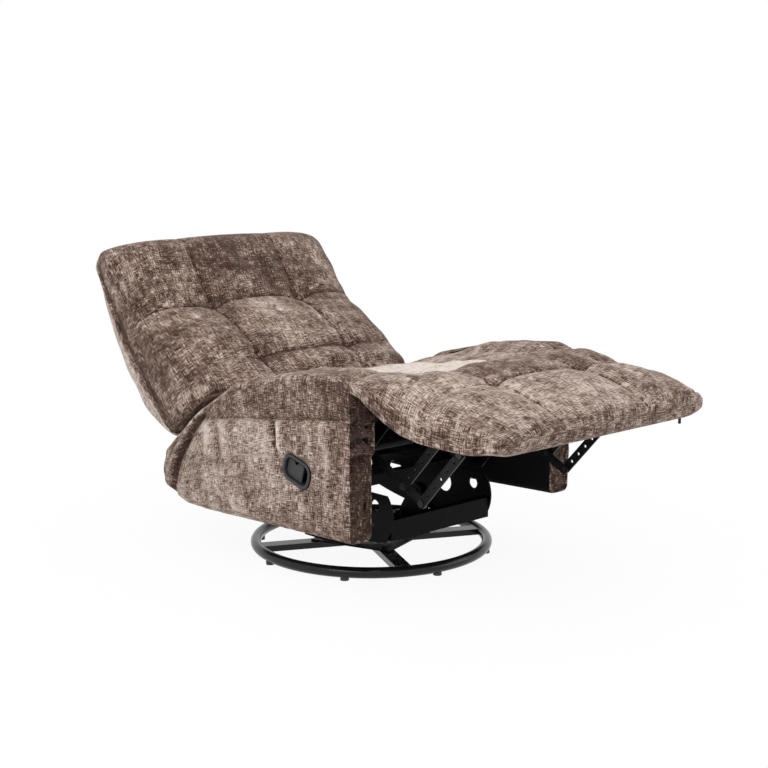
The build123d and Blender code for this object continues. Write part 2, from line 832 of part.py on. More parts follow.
paddle_top = paddle_pin_at + 2 * paddle_pin_diameter
with BuildPart() as handle_paddle:
    with BuildSketch(pin_plane):
        handle_oval(bezel_rim + paddle_gap)
        with Locations(((paddle_top - paddle_reach) / 2, paddle_edge_gap / 2)):
            Rectangle(paddle_top + paddle_reach, 2 * paddle_half - paddle_edge_gap, mode=Mode.INTERSECT)
        with Locations((paddle_notch_at, -paddle_half + paddle_edge_gap)):
            Rectangle(2 * paddle_notch, 2 * paddle_notch, rotation=45, mode=Mode.SUBTRACT)
    extrude(amount=paddle_thickness)
    chamfer(handle_paddle.faces().sort_by(Axis.X)[0].edges(), paddle_chamfer)
    hub_half = pin_half - paddle_edge_gap
    rod(on_handle(paddle_pin_at, -hub_half), on_handle(paddle_pin_at, hub_half), paddle_hub)
    with BuildSketch(Plane(origin=on_handle(paddle_pin_at, -pin_half - 1), z_dir=handle_plane.y_dir)):
        Circle(paddle_pin_diameter / 2 + pin_clearance)
    extrude(amount=2 * pin_half + 2, mode=Mode.SUBTRACT)
save(handle_paddle.part, "handle_paddle")

# Backrest


def board_out_of_back(along):
    # The board's front face in the back's frame.
    return board_low[1] + board_slope * (along - board_low[0])


def back_outline(points):
    # A closed outline on a side plane from points of the back's frame.
    with BuildLine() as outline:
        Polyline(*[on_back(*point) for point in points], close=True)
    make_face(outline.edges())


board_back = board_thickness * (1 + board_slope**2) ** 0.5
with BuildPart() as back_board:
    with BuildSketch(side_plane(-board_half_width)):
        back_outline(
            (
                (board_low[0], board_low[1]),
                (board_end, board_out_of_back(board_end)),
                (board_end, board_out_of_back(board_end) - board_back),
                (board_low[0], board_low[1] - board_back),
            )
        )
    extrude(amount=2 * board_half_width)
save(back_board.part, "back_board")


def bracket_outline(width):
    # Side view of a back bracket: an eye on the pivot, an arm under the padding, a leg behind the board.
    leg_out = board_out_of_back(bracket_top) - board_back
    strap(back_pivot, on_back(*bracket_reach), width)
    back_outline(
        (
            (bracket_reach[0] - width / 2, bracket_reach[1] + width / 2),
            (board_low[0] - bracket_lip, board_low[1] - board_back),
            (board_low[0], board_low[1] - board_back),
            (bracket_top, leg_out),
            (bracket_top, leg_out - width),
            (bracket_reach[0], bracket_reach[1] - width / 2),
        )
    )


with BuildPart() as back_brackets:
    for side, sign in sides:
        with BuildSketch(side_plane(sign * back_bracket_in)):
            bracket_outline(bracket_width)
            with Locations(back_pivot):
                Circle(bracket_width)
            punch(back_pivot, pivot_pin_diameter + 2 * pin_clearance)
        extrude(amount=sign * bracket_thickness)
save(back_brackets.part, "back_brackets")

foot_slope = (back_foot_rear[0] - back_foot_front[0]) / (back_foot_rear[1] - back_foot_front[1])


def foot_line(out):
    # Where the slanted underside of the back lies, along the back.
    return back_foot_front[0] + foot_slope * (out - back_foot_front[1])


with BuildPart() as back_cushion:
    sections = []
    for step in range(section_count):
        share = step / (section_count - 1)
        along = back_start + share * (back_end - back_start)
        rise = puff(first_tuft + (1 - first_tuft) * share, 3)
        base = board_out_of_back(along)
        bow = back_crest - back_crest_fall * (along - back_crest_at) ** 2
        crest = bow - back_channel * (1 - rise)
        dip = crest - back_channel * (column_dip[0] - column_dip[1] * rise)
        half = back_width / 2 - draw_in * sin(pi * share)
        edge = min(base + back_edge, crest - rear_cover_crown)
        sections.append(pad_section(back_plane(along), half, base, edge, crest, dip, tuft_column))
    loft(sections, ruled=True)
    with BuildSketch(side_plane(-chair_width)):
        back_outline(
            (
                (foot_line(back_width), back_width),
                (foot_line(-back_width), -back_width),
                (-back_width, -back_width),
                (-back_width, back_width),
            )
        )
    extrude(amount=2 * chair_width, mode=Mode.SUBTRACT)
save(back_cushion.part, "back_cushion")


def round_pivot(radius, angle):
    # A point round the back's pivot as (Y, Z).
    turn = radians(angle)
    return (back_pivot[0] + radius * cos(turn), back_pivot[1] + radius * sin(turn))


roll_start = recline_angle + 90
roll_end = roll_start + back_roll_span
roll_middle = (roll_start + roll_end) / 2
roll_inner = back_roll_radius - back_roll_depth
with BuildPart() as back_roll:
    with BuildSketch(side_plane(-back_roll_half_width)):
        with BuildLine():
            Polyline(
                on_back(0, roll_inner),
                on_back(foot_line(roll_inner) - soft_gap, roll_inner),
                on_back(foot_line(back_roll_radius) - soft_gap, back_roll_radius),
                on_back(0, back_roll_radius),
            )
            ThreePointArc(
                round_pivot(back_roll_radius, roll_start),
                round_pivot(back_roll_radius, roll_middle),
                round_pivot(back_roll_radius, roll_end),
            )
            Line(round_pivot(back_roll_radius, roll_end), round_pivot(roll_inner, roll_end))
            ThreePointArc(
                round_pivot(roll_inner, roll_end),
                round_pivot(roll_inner, roll_middle),
                round_pivot(roll_inner, roll_start),
            )
        make_face()
    extrude(amount=2 * back_roll_half_width)
save(back_roll.part, "back_roll")

with BuildPart() as back_cover:
    sections = []
    for step in range(section_count):
        share = step / (section_count - 1)
        along = rear_cover_start + share * (board_end - rear_cover_start)
        base = board_out_of_back(along) - board_back
        depth = rear_cover_low + share * (rear_cover_high - rear_cover_low)
        depth += rear_cover_bulge * sin(pi * share)
        half = back_width / 2 - draw_in * sin(pi * share)
        edge = base - rear_cover_edge * depth
        dip = base - depth
        sections.append(
            pad_section(back_plane(along), half, base, edge, dip - rear_cover_crown, dip, tuft_column)
        )
    loft(sections, ruled=True)
    for side, sign in sides:
        with BuildSketch(side_plane(sign * (back_bracket_in - soft_gap))):
            bracket_outline(bracket_width + 2 * soft_gap)
        extrude(amount=sign * (bracket_thickness + 2 * soft_gap), mode=Mode.SUBTRACT)
save(back_cover.part, "back_cover")

# Footrest

footrest_plane = slope_plane(footrest_low_rear, footrest_low_front, -1)
footrest_run = (
    footrest_low_front[0] - footrest_low_rear[0],
    footrest_low_front[1] - footrest_low_rear[1],
)
footrest_length = hypot(*footrest_run)


def footrest_low(y):
    # Height of the footrest's underside at y.
    return footrest_low_rear[1] + (y - footrest_low_rear[0]) * footrest_run[1] / footrest_run[0]


with BuildPart() as footrest_board:
    with BuildSketch(footrest_plane):
        with Locations((0, footrest_length / 2)):
            Rectangle(2 * footrest_board_half_width, footrest_length - footrest_board_thickness)
    extrude(amount=footrest_board_thickness)
save(footrest_board.part, "footrest_board")

slot_width = bracket_out - plate_in + 4 * pivot_head_height
slot_middle = (bracket_out + plate_in) / 2
slot_low = footrest_pivot[1] - pivot_slot_depth
slot_height = pivot_slot_depth + pivot_slot_above
board_hole = (
    2 * (footrest_board_half_width + soft_gap),
    footrest_length - footrest_board_thickness + 2 * soft_gap,
)
with BuildPart() as footrest_cushion:
    sections = []
    for step in range(section_count):
        share = step / (section_count - 1)
        y = footrest_rear + share * (footrest_front - footrest_rear)
        rise = puff(share, 2)
        base = footrest_low(y)
        end = max(0.0, (share - front_fall) / (1 - front_fall))
        edge = base + footrest_edge_height * (1 - front_edge_fall * end**2)
        crown = footrest_crown * (seam_crown + (1 - seam_crown) * rise)
        crest = edge + crown * (1 - front_crest_fall * end**2)
        channel = footrest_channel * (column_dip[0] - column_dip[1] * rise)
        dip = crest - channel * (1 - front_dip_fall * end)
        half = footrest_half_width - draw_in * sin(pi * share) - footrest_corner * end**3
        sections.append(pad_section(cross_plane(y), half, base, edge, crest, dip, tuft_column))
    loft(sections, ruled=True)
    with BuildSketch(footrest_plane):
        with Locations((0, footrest_length / 2)):
            Rectangle(*board_hole)
    extrude(amount=footrest_board_thickness + soft_gap, mode=Mode.SUBTRACT)
    with BuildSketch(cross_plane(footrest_rear)):
        with GridLocations(2 * slot_middle, 1, 2, 1):
            with Locations((0, slot_low + slot_height / 2)):
                Rectangle(slot_width, slot_height)
    extrude(amount=footrest_pivot[0] - footrest_rear - pivot_slot_depth, both=True, mode=Mode.SUBTRACT)
save(footrest_cushion.part, "footrest_cushion")


def footrest_bracket_outline():
    # Side view of a footrest bracket: an eye on the pivot and an arm down to the links.
    toe = front_high_pivot[0] - bracket_toe
    arm_end = (footrest_low_rear[0] - link_width, footrest_low_rear[1] - bracket_drop)
    with BuildLine() as outline:
        Polyline(
            footrest_low_rear,
            (toe, footrest_low(toe)),
            (front_high_pivot[0] - link_width / 2, front_high_pivot[1] - link_width / 4),
            (front_high_pivot[0] + link_width / 4, front_high_pivot[1] - link_width / 2),
            (rear_high_pivot[0] + link_width / 3, rear_high_pivot[1] - link_width / 2),
            (footrest_low_rear[0], footrest_low_rear[1] - link_width),
            close=True,
        )
    make_face(outline.edges())
    strap(footrest_pivot, arm_end, link_width)


with BuildPart() as footrest_brackets:
    for side, sign in sides:
        with BuildSketch(side_plane(sign * bracket_in)):
            footrest_bracket_outline()
            punch(footrest_pivot, pivot_pin_diameter + 2 * pin_clearance)
            for name, low, high in coupler_pivots:
                punch(high, pivot_pin_diameter + 2 * pin_clearance)
        extrude(amount=sign * link_thickness)
        with BuildSketch(footrest_plane):
            with Locations((-sign * (bracket_in + footrest_flange / 2), flange_middle)):
                Rectangle(footrest_flange, flange_length)
                with GridLocations(1, flange_bolt_spacing, 1, 2):
                    Circle(bolt_diameter / 2, mode=Mode.SUBTRACT)
        extrude(amount=-link_thickness)
save(footrest_brackets.part, "footrest_brackets")

with BuildPart() as link_upper_pins:
    for side, sign in sides:
        for name, low, high in coupler_pivots:
            pivot_pin(sign, high, coupler_in - link_gap / 2, bracket_out)
save(link_upper_pins.part, "link_upper_pins")

with BuildPart() as zipper_pull:
    zipper_top = footrest_low(zipper_at[1]) - soft_gap
    with BuildSketch(cross_plane(zipper_at[1])):
        with Locations((zipper_at[0], zipper_top - zipper_size[2] / 2)):
            RectangleRounded(zipper_size[0], zipper_size[2], zipper_size[0] / 4)
        punch((zipper_at[0], zipper_top - zipper_size[2] + zipper_size[0] / 2), zipper_size[0] / 2)
    extrude(amount=zipper_size[1])
save(zipper_pull.part, "zipper_pull")

# Footrest links

with BuildPart() as torque_tube:
    with BuildSketch(side_plane(-link_in - link_thickness)):
        with Locations(drive_pivot):
            Circle(torque_tube_diameter / 2)
            Circle(torque_tube_diameter / 2 - torque_tube_wall, mode=Mode.SUBTRACT)
    extrude(amount=2 * (link_in + link_thickness))
save(torque_tube.part, "torque_tube")

for side, sign in sides:
    with BuildPart() as lower_link:
        with BuildSketch(side_plane(sign * link_in)):
            strap(drive_pivot, front_low_pivot, link_width)
            with Locations(drive_pivot):
                Circle(torque_tube_diameter)
            punch(drive_pivot, torque_tube_diameter + 2 * weld_gap)
            for name, low, high in coupler_pivots:
                punch(low, pivot_pin_diameter + 2 * weld_gap)
        extrude(amount=sign * link_thickness)
    save(lower_link.part, f"lower_link_{side}")
    for name, low, high in coupler_pivots:
        with BuildPart() as coupler:
            with BuildSketch(side_plane(sign * coupler_in)):
                strap(low, high, link_width)
                punch(low, pivot_pin_diameter + 2 * pin_clearance)
                punch(high, pivot_pin_diameter + 2 * pin_clearance)
                for step in range(1, link_hole_count + 1):
                    share = step / (link_hole_count + 1)
                    along = (share * (high[0] - low[0]), share * (high[1] - low[1]))
                    punch(shifted(low, along), link_hole)
            extrude(amount=sign * link_thickness)
        save(coupler.part, f"{name}_{side}")

with BuildPart() as link_lower_pins:
    for side, sign in sides:
        for name, low, high in coupler_pivots:
            pivot_pin(sign, low, link_in, coupler_in + link_thickness + link_gap / 2)
save(link_lower_pins.part, "link_lower_pins")
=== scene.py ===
import json
import math

import bmesh
import bpy
import numpy as np
from mathutils import Matrix


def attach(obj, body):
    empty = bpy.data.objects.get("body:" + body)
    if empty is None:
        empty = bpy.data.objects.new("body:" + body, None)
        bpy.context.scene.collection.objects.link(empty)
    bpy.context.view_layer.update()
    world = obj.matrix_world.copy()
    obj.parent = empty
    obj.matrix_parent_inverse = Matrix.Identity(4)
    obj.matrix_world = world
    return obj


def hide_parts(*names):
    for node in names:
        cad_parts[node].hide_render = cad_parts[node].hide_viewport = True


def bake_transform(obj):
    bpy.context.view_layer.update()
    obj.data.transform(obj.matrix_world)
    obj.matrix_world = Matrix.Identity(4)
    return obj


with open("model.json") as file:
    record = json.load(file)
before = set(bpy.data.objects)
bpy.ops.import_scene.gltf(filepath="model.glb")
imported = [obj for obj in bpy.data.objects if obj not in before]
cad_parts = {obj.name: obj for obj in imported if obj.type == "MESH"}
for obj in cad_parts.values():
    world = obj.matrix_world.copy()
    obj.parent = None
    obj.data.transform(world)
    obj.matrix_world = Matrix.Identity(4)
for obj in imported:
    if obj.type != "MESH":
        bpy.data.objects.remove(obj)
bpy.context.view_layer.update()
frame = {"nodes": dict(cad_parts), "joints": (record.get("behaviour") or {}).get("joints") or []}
nodes = frame["nodes"]
jointPlace = {joint["name"]: joint["pos_m"] for joint in frame["joints"]}
print("frame loaded:", len(nodes), "nodes")

# shared curves and grids


def smoothCurve(knots, values, width):
    # straight lines through the knots, then a running cosine-weighted mean of the given width
    dense = np.linspace(knots[0], knots[-1], 2001)
    line = np.interp(dense, knots, values)
    half = max(int(width / (dense[1] - dense[0]) / 2), 1)
    weight = np.hanning(2 * half + 3)
    padded = np.pad(line, half + 1, mode="reflect", reflect_type="odd")
    soft = np.convolve(padded, weight / weight.sum(), mode="valid")
    return lambda x: np.interp(x, dense, soft)


def spread(start, end, cell, spots):
    # steps from start to end: the step length is cell far from the spots and is divided by 1 + gain near each one
    dense = np.linspace(start, end, 6001)
    density = np.full(dense.shape, 1.0 / cell)
    for at, gain, reach in spots:
        density += gain / cell * np.exp(-((dense - at) / reach) ** 2)
    total = np.concatenate([[0], np.cumsum((density[1:] + density[:-1]) / 2 * np.abs(np.diff(dense)))])
    count = int(math.ceil(total[-1])) + 1
    return np.interp(np.linspace(0, total[-1], count), total, dense)


def rimCurve(half, rise, power, cell, spots=()):
    # half a superellipse |x|^p + |h|^p = 1 from +1 over the top to -1, in steps of equal length in metres
    turn = np.linspace(0, math.pi, 4001)
    x = np.sign(np.cos(turn)) * np.abs(np.cos(turn)) ** (2 / power)
    h = np.abs(np.sin(turn)) ** (2 / power)
    step = np.hypot(np.diff(x) * half, np.diff(h) * rise)
    length = np.concatenate([[0], np.cumsum(step)])
    marks = [(float(np.interp(-at / half, -x, length)), gain, reach) for at, gain, reach in spots]
    take = spread(0, length[-1], cell, marks)
    return np.interp(take, length, x), np.interp(take, length, h), take - length[-1] / 2


def pillow(at, seams, power):
    # between two neighbouring seams t runs from -1 to 1 and the rise is 1 - |t| ^ power
    seams = np.sort(np.asarray(seams))
    panel = np.clip(np.searchsorted(seams, at) - 1, 0, len(seams) - 2)
    t = np.clip(2 * (at - seams[panel]) / (seams[panel + 1] - seams[panel]) - 1, -1, 1)
    return 1 - np.abs(t) ** power


def ease(value, low, high):
    # 0 below low, 1 above high, 3 t^2 - 2 t^3 between
    t = np.clip((value - low) / (high - low), 0, 1)
    return t * t * (3 - 2 * t)


def progress(value, start, end):
    # 0 at the start, 1 at the end, a straight line between
    return np.clip((value - start) / (end - start), 0, 1)


def superellipse(x, power):
    # height h with |x|^p + h^p = 1
    return (1 - np.abs(x) ** power) ** (1 / power)


def ridge(value, width):
    # bell curve exp(-(value / width)^2)
    return np.exp(-((value / width) ** 2))


def ripple(x, y, size, seed, waves=9):
    # mean of plane waves with fixed random directions, phases and lengths near size
    rng = np.random.default_rng(seed)
    total = np.zeros(np.broadcast(x, y).shape)
    turns, phases = rng.uniform(0, math.pi, waves), rng.uniform(0, 6.28, waves)
    for turn, phase, grow in zip(turns, phases, rng.uniform(0.6, 1.6, waves)):
        total = total + np.sin((x * math.cos(turn) + y * math.sin(turn)) * 2 * math.pi / (size * grow) + phase)
    return total / math.sqrt(waves)


def skin(name, rings, uv, facts, finishes, slotOf=None):
    # rows of closed rings joined by quads; end rings that are flat lines are merged shut; facts become point attributes
    rows, cols, _ = rings.shape
    r, c = np.meshgrid(np.arange(rows - 1), np.arange(cols), indexing="ij")
    n = (c + 1) % cols
    quads = np.stack([r * cols + c, r * cols + n, (r + 1) * cols + n, (r + 1) * cols + c], -1).reshape(-1, 4)
    mesh = bpy.data.meshes.new(name)
    mesh.from_pydata(rings.reshape(-1, 3), [], quads)
    corner = np.stack([uv[:-1, :-1], uv[:-1, 1:], uv[1:, 1:], uv[1:, :-1]], 2)
    layer = mesh.uv_layers.new(name="weave")
    layer.data.foreach_set("uv", corner.reshape(-1).astype(np.float32))
    for key, value in facts.items():
        fact = mesh.attributes.new(key, "FLOAT", "POINT")
        fact.data.foreach_set("value", np.ascontiguousarray(value, np.float32).ravel())
    if slotOf is not None:
        mesh.polygons.foreach_set("material_index", slotOf.astype(np.int32).ravel())
    mesh.polygons.foreach_set("use_smooth", np.ones(len(quads), bool))
    bm = bmesh.new()
    bm.from_mesh(mesh)
    bmesh.ops.remove_doubles(bm, verts=bm.verts, dist=2e-5)
    bmesh.ops.dissolve_degenerate(bm, edges=bm.edges, dist=1e-6)
    bmesh.ops.recalc_face_normals(bm, faces=bm.faces)
    bm.to_mesh(mesh)
    bm.free()
    for finish in finishes:
        mesh.materials.append(finish)
    piece = bpy.data.objects.new(name, mesh)
    bpy.context.collection.objects.link(piece)
    return piece


def pointsOf(mesh):
    # point places as an n x 3 array
    out = np.empty(len(mesh.vertices) * 3, np.float32)
    mesh.vertices.foreach_get("co", out)
    return out.reshape(-1, 3).astype(float)


def normalsOf(mesh):
    # point normals as an n x 3 array
    out = np.empty(len(mesh.vertices) * 3, np.float32)
    mesh.vertex_normals.foreach_get("vector", out)
    return out.reshape(-1, 3).astype(float)


def factOf(mesh, key):
    # a point attribute as an array
    out = np.empty(len(mesh.vertices), np.float32)
    mesh.attributes[key].data.foreach_get("value", out)
    return out.astype(float)


def place(mesh, points):
    # writes an n x 3 array back as point places
    mesh.vertices.foreach_set("co", points.astype(np.float32).ravel())
    mesh.update()


swelling = {"frames": 20, "quality": 5, "stretch": 12, "bend": 0.4}


def swell(piece, sewn, pressure, cap):
    # cloth under pressure: sewn points stay, every other point moves at most cap
    start = pointsOf(piece.data)
    piece.vertex_groups.new(name="sewn").add(np.flatnonzero(sewn).tolist(), 1.0, "REPLACE")
    blown = piece.modifiers.new("swell", "CLOTH")
    blown.settings.vertex_group_mass = "sewn"
    blown.settings.use_pressure = True
    blown.settings.uniform_pressure_force = pressure
    blown.settings.quality = swelling["quality"]
    blown.settings.tension_stiffness = swelling["stretch"]
    blown.settings.compression_stiffness = swelling["stretch"]
    blown.settings.bending_stiffness = swelling["bend"]
    blown.settings.effector_weights.gravity = 0
    blown.collision_settings.use_collision = False
    blown.point_cache.frame_start = 1
    blown.point_cache.frame_end = swelling["frames"]
    for step in range(1, swelling["frames"] + 1):
        bpy.context.scene.frame_set(step)
    graph = bpy.context.evaluated_depsgraph_get()
    move = pointsOf(piece.evaluated_get(graph).data) - start
    piece.modifiers.remove(blown)
    piece.vertex_groups.clear()
    bpy.context.scene.frame_set(1)
    length = np.linalg.norm(move, axis=1, keepdims=True)
    move *= cap * np.tanh(length / cap) / np.maximum(length, 1e-9)
    place(piece.data, start + move)
    print("swelled", piece.name, "most", round(float(length.max()) * 1000, 1), "mm")


def refine(piece):
    # one Catmull-Clark subdivision, applied
    piece.modifiers.new("fine", "SUBSURF").levels = 1
    graph = bpy.context.evaluated_depsgraph_get()
    fine = bpy.data.meshes.new_from_object(piece.evaluated_get(graph), preserve_all_data_layers=True, depsgraph=graph)
    piece.modifiers.clear()
    old = piece.data
    piece.data = fine
    fine.name = piece.name
    bpy.data.meshes.remove(old)


def setShade(mesh, shade):
    # painted light and shade on the pile, with some uneven tone of the cloth itself; 1 is the plain cloth
    mesh.attributes["shade"].data.foreach_set("value", np.clip(shade, 0, 3).astype(np.float32))


# finishes


def node(tree, kind, inputs=None, **settings):
    # adds a shader node; a plain value fills its socket, another socket is wired to it
    made = tree.nodes.new(kind)
    for key, value in settings.items():
        setattr(made, key, value)
    for key, value in (inputs or {}).items():
        if isinstance(value, bpy.types.NodeSocket):
            tree.links.new(value, made.inputs[key])
        else:
            made.inputs[key].default_value = value
    return made


def ramp(tree, fac, stops):
    # colour ramp with the given (place, colour) stops
    made = node(tree, "ShaderNodeValToRGB", {"Fac": fac})
    spots = made.color_ramp.elements
    while len(spots) < len(stops):
        spots.new(0.5)
    for spot, (at, colour) in zip(spots, stops):
        spot.position = at
        spot.color = (*colour, 1)
    return made.outputs["Color"]


def remap(tree, value, low, high, start=0.0, end=1.0):
    # straight line from low-high to start-end, held at its ends
    return node(tree, "ShaderNodeMapRange", {0: value, 1: low, 2: high, 3: start, 4: end}).outputs[0]


def newFinish(name):
    # a material, its tree and its shader
    finish = bpy.data.materials.new(name)
    finish.use_nodes = True
    tree = finish.node_tree
    return finish, tree, tree.nodes["Principled BSDF"]


def stretched(tree, coords, scale, detail=2.0, rough=0.55, shift=(0, 0, 0), distort=0.0):
    # noise on coordinates scaled apart in each direction
    grid = node(tree, "ShaderNodeMapping", {"Vector": coords, "Scale": scale, "Location": shift})
    return node(tree, "ShaderNodeTexNoise", {"Vector": grid.outputs[0], "Scale": 1.0, "Detail": detail,
                                             "Roughness": rough, "Distortion": distort}).outputs["Fac"]


chenille = {
    "stops": ((0.32, (0.030, 0.016, 0.011)), (0.42, (0.078, 0.041, 0.029)), (0.51, (0.192, 0.121, 0.091)),
              (0.62, (0.49, 0.385, 0.325)), (0.80, (0.76, 0.69, 0.64))),  # deep pile to pale tips
    # the pile is also moved along the ramp by each panel's painted light and shade and by its own uneven tone
    "slub": (540.0, 48.0), "yarn": 520.0, "blotch": (30.0, 9.0), "brushed": 0.10, "grain": 0.09, "napAndShade": 0.15,
    "bump": (0.7, 0.0016), "rough": 0.92, "sheen": 0.20, "sheenTint": (0.85, 0.72, 0.63, 1),
}


def makeChenille():
    # slubs run both ways along the weave map; brushed blotches and each panel's painted light and shade lift or lower
    # the pile's colour
    finish, tree, shader = newFinish("chenille")
    weave = node(tree, "ShaderNodeTexCoord").outputs["UV"]
    thin, long = chenille["slub"]
    warp = stretched(tree, weave, (thin, long, 1), 2.0, 0.55)
    weft = stretched(tree, weave, (long, thin, 1), 2.0, 0.55, (3.1, 7.7, 0))
    broad, high = chenille["blotch"]
    patchU = stretched(tree, weave, (broad, high, 1), 4.0, 0.62, (1.7, 2.9, 0), 0.3)
    patchV = stretched(tree, weave, (high, broad, 1), 4.0, 0.62, (5.3, 0.4, 0), 0.3)
    blotch = node(tree, "ShaderNodeMath", {0: patchU, 1: patchV}, operation="ADD").outputs[0]
    yarn = stretched(tree, weave, (chenille["yarn"], chenille["yarn"], 1), 1.0, 0.5)
    both = node(tree, "ShaderNodeMath", {0: warp, 1: weft}, operation="ADD").outputs[0]
    cross = remap(tree, both, 0.5, 1.5, 0.09, 0.91)
    brushed = remap(tree, blotch, 0.75, 1.25, -chenille["brushed"], chenille["brushed"])
    lifted = node(tree, "ShaderNodeMath", {0: cross, 1: brushed}, operation="ADD").outputs[0]
    grain = remap(tree, yarn, 0.2, 0.8, -chenille["grain"], chenille["grain"])
    pile = node(tree, "ShaderNodeMath", {0: lifted, 1: grain}, operation="ADD").outputs[0]
    shade = node(tree, "ShaderNodeAttribute", attribute_name="shade").outputs["Fac"]
    napAndShade = remap(tree, shade, 0, 3, -chenille["napAndShade"], 2 * chenille["napAndShade"])
    lit = node(tree, "ShaderNodeMath", {0: pile, 1: napAndShade}, operation="ADD").outputs[0]
    tree.links.new(ramp(tree, lit, chenille["stops"]), shader.inputs["Base Color"])
    height = node(tree, "ShaderNodeMath", {0: cross, 1: yarn}, operation="ADD").outputs[0]
    strength, depth = chenille["bump"]
    bump = node(tree, "ShaderNodeBump", {"Height": height, "Strength": strength, "Distance": depth})
    tree.links.new(bump.outputs[0], shader.inputs["Normal"])
    shader.inputs["Roughness"].default_value = chenille["rough"]
    shader.inputs["Specular IOR Level"].default_value = 0.2
    shader.inputs["Sheen Weight"].default_value = chenille["sheen"]
    shader.inputs["Sheen Roughness"].default_value = 0.45
    shader.inputs["Sheen Tint"].default_value = chenille["sheenTint"]
    return finish


smudge = {"fine": 14, "dim": 0.72, "lit": 1.25, "roughness": (0.75, 1.3), "depth": 0.0006, "coatRough": 0.15}


def makeSmudged(name, colour, rough, metal=0.0, peel=0.0, size=60.0, coat=0.0, spec=0.5):
    # paint or metal: cloudy roughness, slightly uneven colour and a fine orange-peel bump
    finish, tree, shader = newFinish(name)
    coords = node(tree, "ShaderNodeTexCoord").outputs["Object"]
    cloud = stretched(tree, coords, (size, size, size), 4.0, 0.65)
    fine = stretched(tree, coords, (size * smudge["fine"],) * 3, 2.0, 0.5)
    dim = tuple(smudge["dim"] * c for c in colour)
    lit = tuple(min(smudge["lit"] * c + 0.002, 1) for c in colour)
    tree.links.new(ramp(tree, cloud, [(0.3, dim), (0.7, lit)]), shader.inputs["Base Color"])
    smooth, dull = (min(rough * share, 1) for share in smudge["roughness"])
    tree.links.new(remap(tree, cloud, 0.3, 0.75, smooth, dull), shader.inputs["Roughness"])
    bump = node(tree, "ShaderNodeBump", {"Height": fine, "Strength": peel, "Distance": smudge["depth"]})
    tree.links.new(bump.outputs[0], shader.inputs["Normal"])
    shader.inputs["Metallic"].default_value = metal
    shader.inputs["Coat Weight"].default_value = coat
    shader.inputs["Coat Roughness"].default_value = smudge["coatRough"]
    shader.inputs["Specular IOR Level"].default_value = spec
    return finish


woven = {"cloud": 30, "tones": (0.6, 1.5), "bump": (0.5, 0.0005), "specular": 0.12}


def makeCloth(name, colour, pitch, rough):
    # plain woven cloth: two crossed sets of waves give the threads
    finish, tree, shader = newFinish(name)
    coords = node(tree, "ShaderNodeTexCoord").outputs["Object"]
    waves = {"Vector": coords, "Scale": 1 / pitch, "Distortion": 1.5, "Detail": 1.0}
    over, cross = (node(tree, "ShaderNodeTexWave", waves, bands_direction=way).outputs["Fac"] for way in "YZ")
    thread = node(tree, "ShaderNodeMath", {0: over, 1: cross}, operation="MULTIPLY").outputs[0]
    cloud = stretched(tree, coords, (woven["cloud"],) * 3, 3.0, 0.6)
    mixed = node(tree, "ShaderNodeMath", {0: thread, 1: cloud}, operation="MULTIPLY").outputs[0]
    dim, lit = (tuple(share * c for c in colour) for share in woven["tones"])
    tree.links.new(ramp(tree, mixed, [(0.0, dim), (0.6, lit)]), shader.inputs["Base Color"])
    strength, depth = woven["bump"]
    bump = node(tree, "ShaderNodeBump", {"Height": thread, "Strength": strength, "Distance": depth})
    tree.links.new(bump.outputs[0], shader.inputs["Normal"])
    shader.inputs["Roughness"].default_value = rough
    shader.inputs["Specular IOR Level"].default_value = woven["specular"]
    return finish


cloth = makeChenille()
lining = makeCloth("blackLining", (0.013, 0.013, 0.014), 0.0016, 0.95)
finishNodes = (
    (makeSmudged("ringPaint", (0.007, 0.007, 0.008), 0.22, peel=0.10, coat=0.12, spec=0.25),
     ["base_ring", "base_spokes"]),
    (makeSmudged("blackSteel", (0.0030, 0.0030, 0.0034), 0.36, peel=0.25, spec=0.06),
     ["hub_plate", "turntable_plate", "pedestal_right", "pedestal_left", "rocker_plate_right", "rocker_plate_left",
      "front_bar", "rear_bar", "cross_tubes", "side_plate_right", "side_plate_left", "back_brackets",
      "footrest_brackets", "torque_tube", "arm_spacers"]),
    (makeSmudged("linkSteel", (0.009, 0.009, 0.010), 0.32, peel=0.2, spec=0.18),
     ["lower_link_right", "lower_link_left", "front_link_right", "front_link_left", "rear_link_right",
      "rear_link_left", "zipper_pull"]),
    (makeSmudged("pinSteel", (0.035, 0.035, 0.037), 0.35, metal=0.5, peel=0.1, size=180.0),
     ["rocker_pins", "footrest_pins", "back_pins", "link_upper_pins", "link_lower_pins", "pedestal_bolts",
      "arm_bolts", "hub_bolts"]),
    (makeSmudged("brightSteel", (0.46, 0.46, 0.47), 0.3, metal=1.0, peel=0.1, size=180.0),
     ["lower_race", "upper_race", "swivel_balls", "king_bolt", "king_nut", "handle_pin"]),
    (makeSmudged("rubber", (0.012, 0.012, 0.012), 0.8, peel=0.5, spec=0.3), ["rocker_bushes"]),
    (makeSmudged("glidePlastic", (0.016, 0.016, 0.017), 0.5, peel=0.3), ["floor_glides"]),
    (makeSmudged("handlePlastic", (0.030, 0.030, 0.032), 0.42, peel=0.45, size=90.0, spec=0.34),
     ["handle_bezel", "handle_paddle"]),
    (lining, ["arm_board_right", "arm_board_left", "footrest_board", "back_board", "rear_rail", "seat_side_rails",
              "seat_cross_rails"]),
    (makeCloth("webbing", (0.020, 0.019, 0.019), 0.004, 0.9), ["seat_webbing"]),
)
for finish, names in finishNodes:
    for name in names:
        nodes[name].data.materials.clear()
        nodes[name].data.materials.append(finish)
print("finishes made")

# the arm's top line; the seat's edge rises into it
armTop = smoothCurve([-0.36, -0.345, -0.316, -0.137, 0.077, 0.204, 0.386, 0.40],
                     [0.530, 0.539, 0.547, 0.530, 0.479, 0.403, 0.262, 0.251], 0.03)

# chaise pad: seat and footrest under one cover, wider in front of the arms

